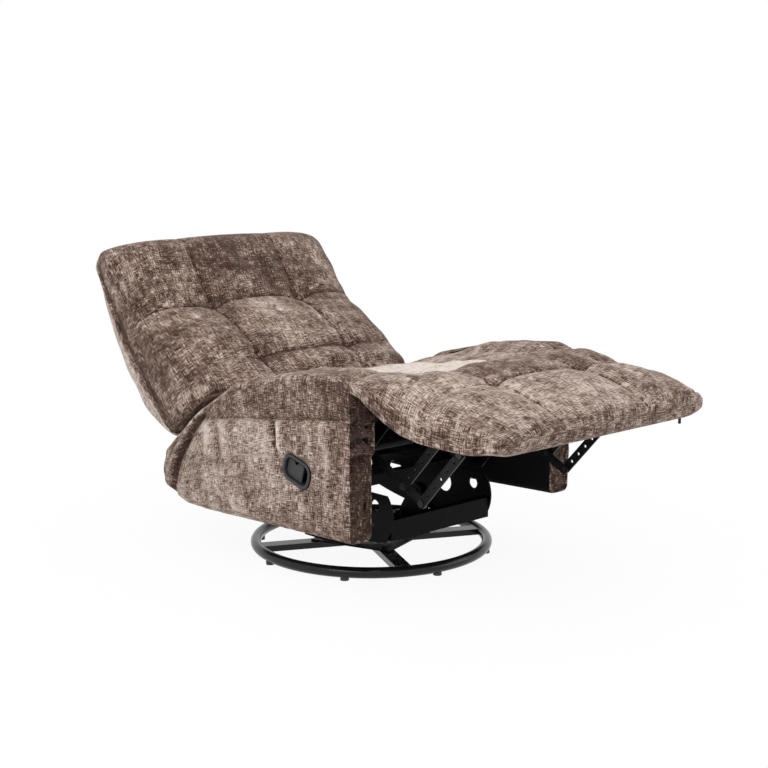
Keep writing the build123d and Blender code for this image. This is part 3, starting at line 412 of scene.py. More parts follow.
chaise = {
    "cell": 0.0105, "column": 0.150, "rows": (0.185, 0.400, 0.578), "rear": -0.139, "front": 0.790, "bow": 0.014,
    "seatHalf": 0.322, "footHalf": 0.386, "widens": (0.3395, 0.3465), "waist": 0.006, "cornerIn": 0.045,
    # where each rounding starts along the pad, and the power of its curve
    "cornerFrom": 0.715, "frontFrom": 0.70, "frontPower": 2.8, "noseFrom": 0.768, "rearFrom": -0.105, "rearPower": 2.2,
    # the rim over the lower edge: everywhere, more on the seat and at the front, less at the rear
    "rimLift": 0.012, "rimSeat": 0.028, "rimFront": 0.024, "rimRear": 0.040,
    # powers of the section: on the footrest, added towards the knee and between the arms, and under the pad
    "power": 3.6, "powerKnee": 2.6, "powerSeat": 6.0, "powerUnder": 9,
    "puff": 0.024, "tuft": 0.013, "pressure": 4.0, "cap": 0.010,
    "crease": 0.0046, "border": 0.027, "dish": 0.008, "pinch": (0.34, 0.06), "overArm": 0.006,
    "borderCrease": 0.0032, "seamWidth": (0.0034, 0.016), "gather": 0.013, "gatherDrift": 0.09, "ripple": 0.0020,
    # tones: the cloth's level, painted sheen on the seat, darker panels with painted shade beside the arms, painted
    # shade in the seams and on the border, mottle
    "shade": 1.36, "seatSheen": 1.45, "darkPanel": 0.40, "seamShade": 0.70, "borderShade": (0.55, 0.42), "mottle": 0.14,
}


def tuftField(piece, across, along, width):
    # bells round each sewn button
    total = np.zeros(across.shape)
    for row in piece["rows"]:
        total += ridge(np.hypot(np.abs(across) - piece["column"], along - row), width)
    return total


def seamGaps(piece, across, along):
    # distances to the nearest column seam and to the nearest row seam
    return np.abs(np.abs(across) - piece["column"]), np.min([np.abs(along - row) for row in piece["rows"]], 0)


def seamFields(piece, across, along, columnPart, rowPart, seed):
    # bells round the seams, thin and wide, and a wave along them for the gathered cloth
    column, row = seamGaps(piece, across, along)
    line, near = (np.maximum(ridge(column, width) * columnPart, ridge(row, width) * rowPart)
                  for width in piece["seamWidth"])
    drift = ripple(across, along, piece["gatherDrift"], seed)
    return line, near, np.sin(2 * math.pi * np.where(column < row, along, across) / piece["gather"] + 2 * drift)


def lengthRound(arcTop, xLow, half):
    # length round a section: over its top, then back along its underside
    return np.concatenate([arcTop, arcTop[-1] + (xLow + 1) * half, [arcTop[-1] + 2 * half]])


def makeChaise():
    # top = envelope(f) + puffs between the seams, with f = -y; the section is a superellipse about the rim height
    top = smoothCurve([-0.16, -0.10, 0, 0.185, 0.30, 0.40, 0.49, 0.578, 0.68, 0.74, 0.80],
                      [0.408, 0.444, 0.476, 0.506, 0.520, 0.530, 0.537, 0.531, 0.507, 0.487, 0.466], 0.06)
    edge = smoothCurve([-0.16, 0.330, 0.350, 0.379, 0.403, 0.436, 0.475, 0.513, 0.563, 0.637, 0.725, 0.80],
                       [0.402, 0.494, 0.498, 0.496, 0.480, 0.460, 0.442, 0.429, 0.421, 0.419, 0.419, 0.420], 0.016)
    under = smoothCurve([-0.16, 0.338, 0.40, 0.44, 0.78, 0.80], [0.402, 0.492, 0.492, 0.466, 0.429, 0.428], 0.02)
    f = spread(chaise["rear"], chaise["front"], chaise["cell"],
               [(row - 0.006, 1.6, 0.020) for row in chaise["rows"]]
               + [(0.344, 3.0, 0.012), (chaise["front"], 3.0, 0.03), (chaise["rear"], 2.0, 0.02)])
    xTop, hTop, arcTop = rimCurve(chaise["footHalf"], 0.07, chaise["power"], chaise["cell"],
                                  [(chaise["column"], 2.0, 0.014), (-chaise["column"], 2.0, 0.014)])
    xLow = xTop[::-1][1:-1]
    hLow = superellipse(xLow, chaise["powerUnder"])
    corner, front, nose = (progress(f, chaise[key], chaise["front"]) for key in ("cornerFrom", "frontFrom", "noseFrom"))
    rear = progress(f, chaise["rearFrom"], chaise["rear"])
    half = chaise["seatHalf"] + (chaise["footHalf"] - chaise["seatHalf"]) * ease(f, *chaise["widens"])
    half = half - chaise["cornerIn"] * (1 - superellipse(corner, 2))
    half = half - chaise["waist"] * np.sin(math.pi * progress(f, 0.36, chaise["front"]))
    closeRear = superellipse(rear, chaise["rearPower"])
    close = superellipse(front, chaise["frontPower"]) * closeRear
    closeLow = superellipse(nose, 2) * closeRear
    rim = edge(f) + chaise["rimLift"] + chaise["rimSeat"] * (1 - ease(f, 0.335, 0.385))
    rim = rim + chaise["rimFront"] * ease(f, 0.70, 0.79) - chaise["rimRear"] * (1 - ease(f, chaise["rear"], -0.05))
    power = chaise["power"] + chaise["powerKnee"] * (1 - ease(f, 0.36, 0.50))
    power = (power + chaise["powerSeat"] * (1 - ease(f, 0.325, 0.345)))[:, None]
    hRow = superellipse(xTop[None], power)
    x = half[:, None] * xTop[None]
    plain = np.broadcast_to(f[:, None], x.shape)
    # the row seams bow towards the seat in the middle of each panel
    a = pillow(x, (-0.52, -chaise["column"], chaise["column"], 0.52), 2.6)
    along = plain + chaise["bow"] * a
    b = pillow(along, (-0.24, *chaise["rows"], 0.86), 2.6)
    outer = ease(np.abs(x), 0.12, 0.22)
    flat = 1 - ease(plain, 0.33, 0.42)
    grow = 1 + 0.15 * outer * ease(plain, 0.42, 0.50) - (0.50 + 0.25 * outer) * flat
    z = top(plain) + chaise["puff"] * (0.28 * a + 0.28 * b + 0.44 * a * b) * grow
    besideArm = ease(np.abs(x), 0.235, 0.300) * (1 - ease(plain, 0.33, 0.36)) * ease(plain, 0.0, 0.15)
    z = z + np.maximum(armTop(-plain) + chaise["overArm"] - z, 0) * besideArm
    # the seat is pressed down between its two outer columns
    z = z - chaise["dish"] * (1 - outer) * (1 - ease(plain, 0.30, 0.43)) * ease(plain, -0.12, 0.0)
    z = z - chaise["tuft"] * (1 - 0.7 * flat) * tuftField(chaise, x, along, 0.022)
    z = rim[:, None] + (z - rim[:, None]) * hRow * close[:, None]
    xBelow = half[:, None] * xLow[None]
    hang = np.maximum(ease(np.abs(xLow), 0.82, 0.95)[None], ease(f, 0.745, 0.765)[:, None])
    low = under(f)[:, None] + (edge(f) - under(f))[:, None] * hang
    zBelow = rim[:, None] - (rim[:, None] - low) * hLow[None] * closeLow[:, None]
    xAll = np.concatenate([x, xBelow], 1)
    zAll = np.concatenate([z, zBelow], 1)
    fAll = np.broadcast_to(f[:, None], xAll.shape)
    lift = zAll - rim[:, None]
    # the two front corners are pinched flatter, more from below than from above
    pinch = np.where(lift < 0, *chaise["pinch"]) * ease(np.abs(xAll), 0.315, 0.386) * ease(fAll, 0.68, 0.79)
    zAll = rim[:, None] + lift * (1 - pinch)
    rings = np.stack([xAll, -fAll, zAll], -1)
    arc = lengthRound(arcTop, xLow, chaise["footHalf"])
    # the weave runs along the middle line of the top, over the front edge too
    centre = z[:, z.shape[1] // 2]
    run = np.concatenate([[0], np.cumsum(np.hypot(np.diff(f), np.diff(centre)))])
    uv = np.stack(np.broadcast_arrays(arc[None], -run[:, None]), -1)
    rise = np.broadcast_to(np.concatenate([hTop, -hLow])[None], xAll.shape)
    facts = {"across": xAll, "along": np.concatenate([along, fAll[:, : len(xLow)]], 1), "rise": rise,
             "lift": lift, "shade": np.ones(xAll.shape)}
    pad = skin("chaise_pad", rings, uv, facts, [cloth])
    across, along, rise = (factOf(pad.data, key) for key in ("across", "along", "rise"))
    seam = np.minimum(*seamGaps(chaise, across, along))
    swell(pad, (rise < 0.12) | (seam < 0.004), chaise["pressure"], chaise["cap"])
    refine(pad)
    mesh = pad.data
    across, along, rise, lift = (factOf(mesh, key) for key in ("across", "along", "rise", "lift"))
    topSide = ease(rise, 0.25, 0.6)
    outer = 1 - 0.6 * ease(np.abs(across), 0.17, 0.25)
    line, near, pucker = seamFields(chaise, across, along, 1.0, outer, 4)
    tufts = tuftField(chaise, across, along, 0.05)
    borderLine = ridge(lift - chaise["border"], 0.0035) * (rise > 0) * (rise < 0.85) * ease(along, 0.40, 0.46)
    push = -chaise["crease"] * line * topSide + (0.0008 + 0.0010 * tufts) * pucker * near * topSide
    push -= chaise["borderCrease"] * borderLine
    push += chaise["ripple"] * ripple(across * 1.6, along, 0.085, 11) * topSide * (1 - near)
    place(mesh, pointsOf(mesh) + normalsOf(mesh) * push[:, None])
    # painted light and shade on the top: a painted sheen makes the seat pale and painted shade darkens it beside the
    # arms; the middle and left panels are darker
    seatSheen = ease(chaise["column"] - np.abs(across), -0.004, 0.010) * ease(along, 0.0, 0.06)
    seatSheen *= 1 - ease(along, 0.392, 0.402)
    wing = ease(np.abs(across), 0.22, 0.34) * (1 - ease(along, 0.36, 0.60))
    left = 0.30 * ease(across, 0.144, 0.152) * ease(along, 0.36, 0.40)
    middle = 1.4 * ease(across, -0.154, -0.146) * ease(along, 0.394, 0.404) * (1 - ease(along, 0.572, 0.580))
    shade = chaise["shade"] + chaise["seatSheen"] * seatSheen * topSide
    shade -= chaise["darkPanel"] * np.max([wing, left, middle], 0)
    shade += chaise["mottle"] * ripple(across, along, 0.22, 21)
    # painted shade in the seam creases
    shade -= chaise["seamShade"] * line * topSide * (1 - 0.8 * seatSheen)
    # painted shade on the border seam and on the border below it
    onBorder = 1 - ease(lift, chaise["border"] - 0.004, chaise["border"] + 0.002)
    onBorder *= ease(along, 0.40, 0.46) * (1 - 0.7 * ease(across, 0.0, 0.30))
    setShade(mesh, shade - chaise["borderShade"][0] * borderLine - chaise["borderShade"][1] * onBorder)
    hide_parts("seat_cushion", "footrest_cushion")
    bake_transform(pad)
    print("chaise pad", len(mesh.polygons), "faces")


makeChaise()

# back pad and the cover behind it, in the back's own frame: s along the back from its pivot, v out of its front

back = {
    "pivot": jointPlace["back_recline"][1:], "lean": 40.0,
    "rollRadius": 0.078, "low": -0.062, "high": 0.626, "cell": 0.0110,
    "half": 0.389, "rollHalf": 0.311, "column": 0.154, "rows": (0.140, 0.350), "puff": 0.024, "tuft": 0.013,
    "widens": (0.047, 0.061), "waist": 0.004, "corner": (0.55, 0.628), "cornerIn": 0.040,
    # where the two ends start to close, and the power of each curve
    "headFrom": 0.565, "headPower": 2.4, "heelFrom": -0.044, "heelPower": 2.2,
    # the hinge roll's two faces, and how the lower edge leans with the arm's top line
    "rollOuter": 0.048, "rollInner": 0.034, "edgeLean": 0.2167, "edgeFrom": -0.13,
    "power": 3.6, "powerUnder": 4, "bow": 0.020, "armRoom": 0.025, "pressure": 4.0, "cap": 0.010,
    "crease": 0.0040, "ripple": 0.0028,
    "seamWidth": (0.0042, 0.018), "gather": 0.015, "gatherDrift": 0.10, "rolls": (0.0065, 0.0050),
    # tones: the cloth's level, pale middle, dark head and left panels, painted shade in the seams and at the side edge,
    # mottle
    "shade": 0.77, "paleMiddle": 0.30, "darkHead": 0.38, "darkLeft": 0.14, "seamShade": 0.75, "edgeShade": 0.7,
    "mottle": 0.16,
}
sideSeam = smoothCurve([0.0, 0.07, 0.207, 0.350, 0.424, 0.507, 0.64],
                       [-0.155, -0.150, -0.136, -0.120, -0.096, -0.072, -0.034], 0.06)
rearLine = smoothCurve([0.0, 0.07, 0.222, 0.372, 0.507, 0.611, 0.64],
                       [-0.204, -0.202, -0.193, -0.154, -0.097, -0.057, -0.050], 0.06)


def onBack(x, s, v):
    # s >= 0 runs straight up the back; s < 0 turns about the pivot by -s / rollRadius
    lean = math.radians(back["lean"])
    turn = lean + np.maximum(-s, 0) / back["rollRadius"]
    y = back["pivot"][0] + np.maximum(s, 0) * math.cos(lean) - v * np.sin(turn)
    z = back["pivot"][1] + np.maximum(s, 0) * math.sin(lean) + v * np.cos(turn)
    return np.stack(np.broadcast_arrays(x, y, z), -1)


def makeBackPad():
    # front = envelope(s) + puffs, falling on a superellipse to the side seam; under s = 0 it thins to the hinge roll
    top = smoothCurve([-0.08, 0, 0.09, 0.160, 0.25, 0.367, 0.46, 0.56, 0.60, 0.64],
                      [0.044, 0.046, 0.058, 0.054, 0.033, 0.003, 0.014, 0.028, 0.021, 0.004], 0.06)
    s = spread(back["low"], back["high"], back["cell"],
               [(row + 0.008, 1.6, 0.022) for row in back["rows"]]
               + [(0.052, 2.4, 0.012), (back["high"], 2.5, 0.03), (back["low"], 2.0, 0.012)])
    xTop, hTop, arcTop = rimCurve(back["half"], 0.19, back["power"], back["cell"],
                                  [(back["column"], 2.0, 0.014), (-back["column"], 2.0, 0.014)])
    xLow = xTop[::-1][1:-1]
    hLow = superellipse(xLow, back["powerUnder"])
    wide = ease(s, *back["widens"])
    half = back["rollHalf"] + (back["half"] - back["rollHalf"]) * wide
    half = half - back["cornerIn"] * (1 - superellipse(progress(s, *back["corner"]), 2))
    half = half - back["waist"] * np.sin(math.pi * progress(s, 0, 0.6)) * wide
    close = superellipse(progress(s, back["headFrom"], back["high"]), back["headPower"])
    close = close * superellipse(progress(s, back["heelFrom"], back["low"]), back["heelPower"])
    rim = back["rollOuter"] + (sideSeam(s) - back["rollOuter"]) * wide
    inner = back["rollInner"] + (sideSeam(s) - 0.004 - back["rollInner"]) * wide
    x = half[:, None] * xTop[None]
    plain = np.broadcast_to(s[:, None], x.shape)
    # the row seams bow towards the head in the middle of each panel, and the column seams fade out at the top
    a = pillow(x, (-0.50, -back["column"], back["column"], 0.50), 2.4)
    along = plain - back["bow"] * a * ease(plain, 0.18, 0.30)
    fade = 1 - 0.75 * ease(plain, 0.40, 0.56)
    a = 1 - (1 - a) * fade
    b = pillow(along, (-0.10, *back["rows"], 0.70), 2.4)
    side = ease(np.abs(x), 0.24, 0.37)
    b = b + (0.75 - b) * side
    v = top(plain) + back["puff"] * (0.26 * a + 0.26 * b + 0.48 * a * b) * (0.5 + 0.5 * ease(plain, 0.05, 0.12))
    v = v - back["tuft"] * tuftField(back, x, along, 0.024)
    v = rim[:, None] + (v - rim[:, None]) * hTop[None] * close[:, None]
    xBelow = half[:, None] * xLow[None]
    vBelow = rim[:, None] - (rim - inner)[:, None] * hLow[None] * close[:, None]
    xAll = np.concatenate([x, xBelow], 1)
    sAll = np.broadcast_to(s[:, None], xAll.shape)
    vAll = np.concatenate([v, vBelow], 1)
    # the lower edge follows the arm's top line
    atArm = ease(sAll, back["low"], back["widens"][0]) * (1 - ease(sAll, 0.055, 0.22))
    sEdge = sAll - back["edgeLean"] * (vAll - back["edgeFrom"]) * atArm
    # room beside the arm for the folded-up back
    beside = ease(np.abs(xAll), 0.298, 0.312) * ridge(sAll - 0.045, 0.030)
    sEdge = sEdge + back["armRoom"] * ridge(vAll - 0.010, 0.040) * beside
    rings = onBack(xAll, sEdge, vAll)
    arc = lengthRound(arcTop, xLow, back["half"])
    uv = np.stack(np.broadcast_arrays(arc[None] + 2.0, s[:, None]), -1)
    rise = np.broadcast_to(np.concatenate([hTop, -hLow])[None], xAll.shape)
    facts = {"across": xAll, "along": np.concatenate([along, sAll[:, : len(xLow)]], 1), "plain": sAll, "rise": rise,
             "shade": np.ones(xAll.shape)}
    pad = skin("back_pad", rings, uv, facts, [cloth])
    across, along, plain, rise = (factOf(pad.data, key) for key in ("across", "along", "plain", "rise"))
    seam = np.minimum(*seamGaps(back, across, along))
    swell(pad, (rise < 0.12) | (seam < 0.004) | (plain < 0.01), back["pressure"], back["cap"])
    refine(pad)
    mesh = pad.data
    across, along, plain, rise = (factOf(mesh, key) for key in ("across", "along", "plain", "rise"))
    topSide = ease(rise, 0.2, 0.5)
    fade = 1 - 0.5 * ease(plain, 0.44, 0.58)
    outer = 1 - 0.85 * ease(np.abs(across), 0.16, 0.24) * (1 - ease(plain, 0.2, 0.3))
    line, near, pucker = seamFields(back, across, along, fade, outer, 5)
    tufts = tuftField(back, across, along, 0.06)
    # two soft rolls over the hinge
    curve = plain - 0.018 * np.sin(9 * across)
    rolls = back["rolls"][0] * ridge(curve - 0.092, 0.015) - back["rolls"][1] * ridge(curve - 0.066, 0.007)
    push = -back["crease"] * line * topSide + (0.0008 + 0.0012 * tufts) * pucker * near * topSide + rolls * topSide
    waves = ripple(across * 1.4, along, 0.11, 12) * topSide * (1 - near) * (1 - ease(plain, 0.48, 0.58))
    place(mesh, pointsOf(mesh) + normalsOf(mesh) * (push + back["ripple"] * waves)[:, None])
    # pale middle panel, dark head panel and left panel; painted shade on the lower corners beside the arms, a painted
    # shade line at the side seam and painted shade in the seams
    inMiddle = back["column"] - np.abs(across)
    paleMiddle = ease(inMiddle, -0.01, 0.02) * ease(along, 0.15, 0.18) * (1 - ease(along, 0.34, 0.37))
    headMiddle = ease(inMiddle, -0.004, 0.008) * ease(along, 0.350, 0.358)
    left = ease(across, 0.150, 0.162) * ease(along, 0.20, 0.26) * (1 - ease(along, 0.344, 0.352))
    shade = back["shade"] + back["paleMiddle"] * paleMiddle * topSide - back["darkHead"] * headMiddle
    shade += 0.08 * (1 - ease(plain, 0.10, 0.16)) - back["darkLeft"] * left
    shade -= 0.55 * (1 - ease(plain, 0.050, 0.085)) * ease(np.abs(across), 0.20, 0.30)
    shade -= back["edgeShade"] * (1 - ease(np.abs(rise), 0.03, 0.16)) * ease(plain, 0.05, 0.09)
    setShade(mesh, shade + back["mottle"] * ripple(across, along, 0.20, 22) - back["seamShade"] * line * topSide)
    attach(pad, "backrest")
    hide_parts("back_cushion", "back_roll")
    print("back pad", len(mesh.polygons), "faces")


backCover = {
    "low": 0.060, "high": 0.618, "cell": (0.012, 0.009), "half": 0.393, "weaveHalf": 0.39, "powers": (12.0, 3.0),
    "belly": 0.012, "lowRound": 0.014, "lowPower": 3, "highRound": 0.033, "highPower": 2.5, "powerUnder": 4,
    "topCorner": (0.55, 0.62), "topIn": 0.040, "heelRound": 0.045, "heelIn": 0.030,
    "pressure": 2.0, "cap": 0.006, "ripple": 0.0018,
    # tones: the cloth's level, painted light on the side wall, painted shade at the seam with the pad, mottle
    "shade": 1.30, "sideLight": 0.85, "seamShade": 1.4, "mottle": 0.10,
}


def makeBackCover():
    # shallow dome from the side seam to the rear line, flat where it meets the pad
    s = spread(backCover["low"], backCover["high"], backCover["cell"][0],
               [(backCover["low"], 3.0, 0.014), (backCover["high"], 2.0, 0.02)])
    square, rounded = backCover["powers"]
    xTop, hTop, arcTop = rimCurve(backCover["half"], 0.06, square, backCover["cell"][1])
    xLow = xTop[::-1][1:-1]
    hLow = superellipse(xLow, backCover["powerUnder"])
    low = np.clip((backCover["low"] + backCover["lowRound"] - s) / backCover["lowRound"], 0, 1)
    high = np.clip((s - backCover["high"] + backCover["highRound"]) / backCover["highRound"], 0, 1)
    heel = np.clip((backCover["low"] + backCover["heelRound"] - s) / backCover["heelRound"], 0, 1)
    depth = rearLine(s) - backCover["belly"] * ease(s, 0.08, 0.20) * (1 - ease(s, 0.42, 0.56))
    close = superellipse(low, backCover["lowPower"]) * superellipse(high, backCover["highPower"])
    half = backCover["half"] - backCover["topIn"] * (1 - superellipse(progress(s, *backCover["topCorner"]), 2))
    half = half - backCover["heelIn"] * (1 - superellipse(heel, 2))
    rim = sideSeam(s) - 0.001
    x = half[:, None] * xTop[None]
    # the dome's edge is square along the sides and rounder towards the lower corners
    power = (square - (square - rounded) * (1 - ease(s, 0.07, 0.24)))[:, None]
    hRow = superellipse(xTop[None], power)
    v = rim[:, None] + (depth - rim)[:, None] * hRow * close[:, None]
    xAll = np.concatenate([x, half[:, None] * xLow[None]], 1)
    vAll = np.concatenate([v, rim[:, None] + 0.003 * hLow[None] * close[:, None]], 1)
    sAll = np.broadcast_to(s[:, None], xAll.shape)
    arc = lengthRound(arcTop, xLow, backCover["weaveHalf"])
    uv = np.stack(np.broadcast_arrays(arc[None] + 4.0, s[:, None]), -1)
    rise = np.broadcast_to(np.concatenate([hTop, -hLow])[None], xAll.shape)
    facts = {"across": xAll, "along": sAll, "rise": rise, "shade": np.ones(xAll.shape)}
    cover = skin("back_cover_cloth", onBack(xAll, sAll, vAll), uv, facts, [cloth])
    swell(cover, factOf(cover.data, "rise") < 0.1, backCover["pressure"], backCover["cap"])
    refine(cover)
    mesh = cover.data
    across, along, rise = (factOf(mesh, key) for key in ("across", "along", "rise"))
    push = backCover["ripple"] * ripple(across, along * 2, 0.14, 13) * ease(rise, 0.1, 0.5)
    place(mesh, pointsOf(mesh) + normalsOf(mesh) * push[:, None])
    # painted light on the side wall and painted shade along the seam with the pad
    shade = backCover["shade"] + backCover["sideLight"] * ease(np.abs(across), 0.33, 0.375)
    shade -= backCover["seamShade"] * (1 - ease(rise, 0.0, 0.14))
    setShade(mesh, shade + backCover["mottle"] * ripple(across, along, 0.2, 23))
    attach(cover, "backrest")
    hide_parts("back_cover")
    print("back cover", len(mesh.polygons), "faces")


makeBackPad()
makeBackCover()

# arms: padded side, top band darkened by painted shade, rear band and black lining inside

arm = {
    "outer": 0.388, "inner": 0.3165, "front": -0.352, "rear": 0.389, "cell": 0.0105, "round": 0.017, "edge": 0.009,
    "height": 0.38, "frontRows": 8, "rearFrom": 0.371, "rearPower": 4, "liningTop": 0.74, "liningRear": 0.36,
    "bandHeight": 0.441, "bandFall": 0.138, "bandFrom": -0.309, "bandTop": 0.005,
    "rearSeam": ((0.143, 0.163, 0.212, 0.269, 0.311, 0.350, 0.392), (0.346, 0.349, 0.333, 0.299, 0.267, 0.235, 0.196)),
    "strip": 0.015, "groove": 0.0042, "belly": 0.004, "ripple": 0.0022,
    "frontStep": 0.0105, "stepAbove": (0.345, 0.362), "stepAhead": (0.325, 0.338),
    # each pleat: place from front to rear, size, half width, lowest height
    "pleat": 0.0100, "pleatLean": 0.20, "pleatHeight": 0.37,
    "pleats": ((-0.062, 0.7, 0.009, 0.335), (-0.081, -0.9, 0.008, 0.325), (-0.102, 1.0, 0.010, 0.325),
               (0.130, 0.6, 0.014, 0.28), (0.165, -0.5, 0.010, 0.29), (0.200, 0.6, 0.012, 0.27),
               (-0.215, 0.4, 0.016, 0.33), (-0.270, 0.4, 0.020, 0.30)),
    # each wrinkle of the front face: height, slope, size, half width
    "wrinkle": 0.0110,
    "wrinkles": ((0.448, 0.20, 0.7, 0.010), (0.427, 0.30, -1.0, 0.008), (0.408, 0.05, 1.0, 0.009),
                 (0.388, -0.20, -1.1, 0.008), (0.371, 0.15, 1.0, 0.009), (0.353, -0.10, -1.0, 0.007)),
    "handle": (-0.161, 0.294), "handleLean": 16.0, "handleHalf": (0.050, 0.033), "handleCorner": 0.027,
    "handleRim": 0.0025, "handleHole": 0.046,
    # tones: the side panel's own level, painted shade on the top band, rear strip and front face and in the band seam
    # and rear groove, darker towards the front, painted highlights on the pleats, rear strip, wrinkles and outer edge,
    # and streaks in the pile
    "shade": 1.42, "bandShade": (0.66, 0.35), "rearShade": 0.40, "frontShade": 1.95, "darkFore": 0.48,
    "grooveShade": (0.45, 1.7), "litPleat": 1.25, "litRear": 0.35, "litWrinkle": 0.60, "litEdge": 0.45,
    "streaks": (0.16, 0.13),
}
armLow = smoothCurve([-0.36, -0.30, 0.22, 0.296, 0.346, 0.375, 0.389, 0.40],
                     [0.150, 0.148, 0.126, 0.127, 0.142, 0.167, 0.205, 0.22], 0.02)


def makeArm(name, side, plain):
    # rounded rectangle round the arm's thickness, carried from front to rear between the lower and the upper line
    spots = [(arm["front"], 3.5, 0.010), (arm["rear"], 3.0, 0.012), (0.30, 1.2, 0.05)]
    rows = [(0.80, 1.0, 0.06), (0.66, 2.4, 0.13)]
    if side < 0:
        spots += [(arm["handle"][0], 2.0, 0.055), (-0.088, 1.8, 0.030)]
        rows.append((0.36, 2.1, 0.15))
    body = spread(arm["front"], arm["rear"], arm["cell"], spots)
    y = np.concatenate([np.full(arm["frontRows"], arm["front"]), body])
    # round the section: place (cx, cz) on the rectangle inside the roundings, and direction (nx, nz) outward
    up = spread(0, 1, arm["cell"] / arm["height"], rows)
    turn = np.linspace(0, math.pi / 2, 6)[1:-1]
    flat = np.linspace(1, -1, 8)
    one, cos, sin = np.ones_like, np.cos(turn), np.sin(turn)
    cx = np.concatenate([one(up), one(turn), flat, -one(turn), -one(up), -one(turn), -flat, one(turn)])
    cz = np.concatenate([up, one(turn), one(flat), one(turn), up[::-1], 0 * turn, 0 * flat, 0 * turn])
    nx = np.concatenate([one(up), cos, 0 * flat, -sin, -one(up), -cos, 0 * flat, sin])
    nz = np.concatenate([0 * up, sin, one(flat), cos, 0 * up, -sin, -one(flat), -cos])
    # the front edge is a quarter circle; the first rows close the front face towards its middle line
    front = progress(y, arm["front"] + arm["edge"], arm["front"])
    inset = (arm["edge"] * (1 - superellipse(front, 2)))[:, None]
    fold = np.concatenate([np.linspace(1, 0, arm["frontRows"], endpoint=False), 0 * body])[:, None]
    width = superellipse(progress(y, arm["rearFrom"], arm["rear"]), arm["rearPower"])[:, None]
    low, high, r = armLow(y)[:, None], armTop(y)[:, None], arm["round"]
    middle, half = (arm["outer"] + arm["inner"]) / 2, (arm["outer"] - arm["inner"]) / 2
    z = low + r + (high - low - 2 * r) * cz[None] + (r - inset) * nz[None]
    x = middle + width * (1 - fold) * ((half - r) * cx[None] + (r - inset) * nx[None])
    yAll = np.broadcast_to(y[:, None], x.shape)
    # height over the band seam and distance behind the rear seam
    over = z - (arm["bandHeight"] - arm["bandFall"] * (yAll - arm["bandFrom"]))
    behind = yAll - np.interp(z, *arm["rearSeam"])
    outward = np.clip(nx, 0, 1)[None] * width * (1 - ease(front, 0.0, 0.9))[:, None]
    ahead = 1 - ease(behind, -0.004, 0.004)
    bulge = (arm["bandTop"] * ease(over, 0.0, 0.03) - arm["groove"] * ridge(over, 0.005)) * ahead
    bulge += arm["strip"] * (ridge(behind - 0.020, 0.014) + 0.6 * ridge(behind - 0.048, 0.012))
    bulge -= 2.8 * arm["groove"] * ridge(behind, 0.010) * (1 - ease(over, 0.0, 0.03))
    panel = ahead * (1 - ease(over, -0.010, 0.0))
    pleats = np.zeros(x.shape)
    for at, size, wide, lowest in arm["pleats"]:
        leaned = yAll - at - arm["pleatLean"] * (z - arm["pleatHeight"])
        pleats += size * ridge(leaned, wide) * ease(z, lowest - 0.03, lowest + 0.03)
    bulge += arm["pleat"] * pleats * panel
    bulge += arm["belly"] * np.sin(math.pi * np.clip((z - low) / (high - low), 0, 1)) * panel
    bulge += arm["ripple"] * ripple(yAll * 1.5, z * 0.7, 0.07, 31 + side) * panel
    if side < 0:
        # distance outside the handle's rounded outline, less than 0 inside it
        lean, corner = math.radians(arm["handleLean"]), arm["handleCorner"]
        dy, dz = yAll - arm["handle"][0], z - arm["handle"][1]
        p = np.abs(dy * math.cos(lean) + dz * math.sin(lean)) - arm["handleHalf"][0] + corner
        q = np.abs(dz * math.cos(lean) - dy * math.sin(lean)) - arm["handleHalf"][1] + corner
        gap = np.hypot(np.maximum(p, 0), np.maximum(q, 0)) + np.minimum(np.maximum(p, q), 0) - corner
        bulge = bulge * ease(gap, 0.0, 0.030) + arm["handleRim"] * ridge(gap - 0.009, 0.006)
        bulge -= arm["handleHole"] * (1 - ease(gap, -0.0050, -0.0012))
    x = x + bulge * outward
    face = ease(front, 0.7, 1.0)[:, None] * (1 - ease(np.abs(x - middle), 0.026, 0.036))
    gather = 0.4 * ripple(x * 2, z, 0.05, 33)
    for at, lean, size, wide in arm["wrinkles"]:
        gather = gather + size * ridge(z - at - lean * (x - middle) + 6 * (x - middle) ** 2, wide)
    yMoved = yAll + arm["wrinkle"] * np.clip(1.0 - gather, 0, 2) * face
    # the inner side steps back at its upper front, to clear the footrest's bars
    inside = np.clip(-nx, 0, 1)[None] * width * (1 - fold)
    x = x - arm["frontStep"] * inside * ease(z, *arm["stepAbove"]) * ease(-yAll, *arm["stepAhead"])
    rings = np.stack([side * x, yMoved, z], -1)
    run = np.concatenate([[0], np.cumsum(np.hypot(np.diff(x[len(y) // 3]), np.diff(z[len(y) // 3])))])
    flatRun = np.concatenate([run, [run[-1] + 0.03]])
    lengthwise = y[:, None] - 0.036 * fold - 0.03 * (1 - width)
    uv = np.stack(np.broadcast_arrays(flatRun[None] + 6.0 + side, lengthwise), -1)
    lined = (nx < -0.2) & (cz < arm["liningTop"])
    slotOf = (lined[None] & (front[:-1, None] < 0.2) & (yAll[:-1] < arm["liningRear"])).astype(int)
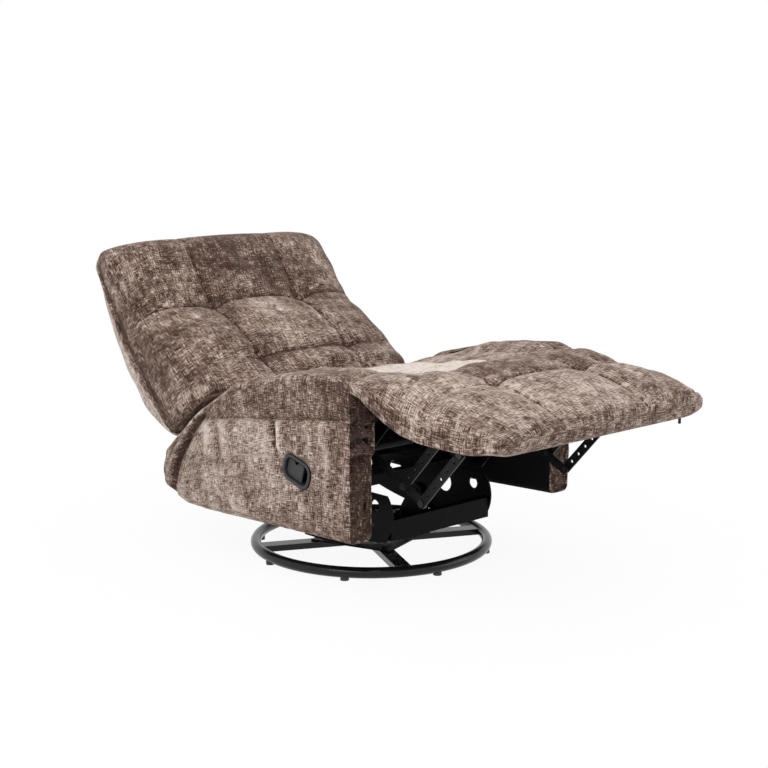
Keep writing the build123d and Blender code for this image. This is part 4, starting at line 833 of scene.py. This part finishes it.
    # painted highlights on the tops of the pleats, rear strip and wrinkles and on the rounded outer edge, and painted
    # shade in their hollows
    lit = arm["litPleat"] * pleats * outward * panel + arm["litWrinkle"] * gather * face
    lit += arm["litRear"] * (ridge(behind - 0.020, 0.012) - ridge(behind - 0.036, 0.008))
    lit += arm["litEdge"] * (nx * nz > 0.2)[None] * (nx > 0)[None] * (yAll > -0.3)
    facts = {"over": over, "behind": behind, "front": np.broadcast_to(front[:, None], x.shape), "deep": yAll,
             "lit": lit, "shade": np.ones(x.shape)}
    pad = skin(name, rings, uv, facts, [cloth, lining], slotOf)
    refine(pad)
    mesh = pad.data
    over, behind, front, deep, lit = (factOf(mesh, key) for key in ("over", "behind", "front", "deep", "lit"))
    points = pointsOf(mesh)
    # painted shade on the top band, the rear strip, the front face below the seat, the band seam and the rear groove;
    # darker towards the front; painted highlights added; streaks in the pile
    band = ease(over, -0.002, 0.004) * (1 - ease(behind, 0.0, 0.01))
    bandShade, bandFade = arm["bandShade"]
    shade = arm["shade"] + lit - (bandShade - bandFade * deep) * band - arm["rearShade"] * ease(behind, 0, 0.01)
    shade -= arm["frontShade"] * ease(front, 0.6, 1.0) * (1 - ease(points[:, 2], 0.495, 0.52))
    shade -= arm["darkFore"] * ease(-deep, 0.03, 0.20) * (1 - band)
    shade -= arm["grooveShade"][0] * ridge(over, 0.0035) * (behind < 0)
    shade -= arm["grooveShade"][1] * ridge(behind, 0.011) * (1 - ease(over, 0.0, 0.02))
    shade += arm["streaks"][0] * ripple(points[:, 1], points[:, 2] * 0.6, 0.13, 24)
    setShade(mesh, shade + arm["streaks"][1] * ripple(points[:, 1] * 3, points[:, 2] * 0.5, 0.10, 26))
    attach(pad, "chassis")
    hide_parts(plain)
    print(name, len(mesh.polygons), "faces")


makeArm("arm_right", -1, "arm_pad_right")
makeArm("arm_left", 1, "arm_pad_left")

# floor, light and camera

studio = {
    "floor": 0.86, "floorRadius": 9.0, "floorSides": 96, "white": 0.93, "whiteFade": (0.3, 1.3), "world": 0.55,
    # each lamp: place, aim, size, power
    "lamps": {"key": ((-2.4, -1.2, 2.6), (0, 0, 0.4), 2.2, 60.0), "fill": ((2.2, -2.6, 1.6), (0, -0.2, 0.4), 2.4, 22.0),
              "top": ((0.2, 0.6, 3.2), (0, 0, 0.4), 3.0, 30.0)},
    "eye": (-2.606, -2.844, 1.1246), "right": (0.7314, -0.6820, 0.0), "up": (0.1196, 0.1283, 0.9845), "lens": 70.31,
}


def backdropRays(tree):
    # 1 where the backdrop is looked at, straight, in a reflection or through glass
    rays = node(tree, "ShaderNodeLightPath").outputs
    seen = rays["Is Camera Ray"]
    for kind in ("Is Glossy Ray", "Is Transmission Ray"):
        seen = node(tree, "ShaderNodeMath", {0: seen, 1: rays[kind]}, operation="MAXIMUM").outputs[0]
    return seen


def makeStudio():
    # pale world and floor, three soft lamps, and a camera set by its place and two of its axes
    world = bpy.data.worlds.new("studio")
    bpy.context.scene.world = world
    world.use_nodes = True
    tree = world.node_tree
    tree.nodes.clear()
    strength = remap(tree, backdropRays(tree), 0, 1, studio["world"], 1.0)
    light = node(tree, "ShaderNodeBackground", {"Color": (1, 1, 1, 1), "Strength": strength})
    out = node(tree, "ShaderNodeOutputWorld")
    tree.links.new(light.outputs[0], out.inputs[0])
    # round floor; seen directly it fades to white away from the chair, and it keeps the shadow
    turn = np.linspace(0, 2 * math.pi, studio["floorSides"], endpoint=False)
    ring = studio["floorRadius"] * np.stack([np.cos(turn), np.sin(turn), 0 * turn], -1)
    floorMesh = bpy.data.meshes.new("floor")
    floorMesh.from_pydata(ring, [], [list(range(studio["floorSides"]))])
    floor = bpy.data.objects.new("floor", floorMesh)
    bpy.context.collection.objects.link(floor)
    finish, tree, shader = newFinish("paleFloor")
    shader.inputs["Base Color"].default_value = (studio["floor"],) * 3 + (1,)
    shader.inputs["Roughness"].default_value = 0.9
    shader.inputs["Specular IOR Level"].default_value = 0.1
    glow = node(tree, "ShaderNodeEmission", {"Color": (1, 1, 1, 1), "Strength": 1.0})
    coords = node(tree, "ShaderNodeTexCoord").outputs["Object"]
    far = node(tree, "ShaderNodeVectorMath", {0: coords}, operation="LENGTH").outputs["Value"]
    white = remap(tree, far, *studio["whiteFade"], studio["white"], 1.0)
    fac = node(tree, "ShaderNodeMath", {0: white, 1: backdropRays(tree)}, operation="MULTIPLY").outputs[0]
    mixed = node(tree, "ShaderNodeMixShader", {0: fac, 1: shader.outputs[0], 2: glow.outputs[0]})
    tree.links.new(mixed.outputs[0], tree.nodes["Material Output"].inputs[0])
    floorMesh.materials.append(finish)
    for name, (at, aim, size, power) in studio["lamps"].items():
        lamp = bpy.data.lights.new(name, "AREA")
        lamp.energy, lamp.size = power, size
        lit = bpy.data.objects.new(name, lamp)
        way = np.array(aim) - np.array(at)
        lit.location = at
        lit.rotation_euler = (math.acos(-way[2] / np.linalg.norm(way)), 0, math.atan2(way[1], way[0]) - math.pi / 2)
        bpy.context.collection.objects.link(lit)
    camera = bpy.data.objects.new("camera", bpy.data.cameras.new("camera"))
    camera.data.lens, camera.data.sensor_width = studio["lens"], 36
    axes = np.eye(4)
    axes[:3, 0], axes[:3, 1] = studio["right"], studio["up"]
    axes[:3, 2] = np.cross(studio["right"], studio["up"])
    axes[:3, 3] = studio["eye"]
    camera.matrix_world = Matrix(axes.tolist())
    bpy.context.collection.objects.link(camera)
    bpy.context.scene.camera = camera
    bpy.context.scene.view_settings.view_transform = "Standard"


makeStudio()
print("studio made")
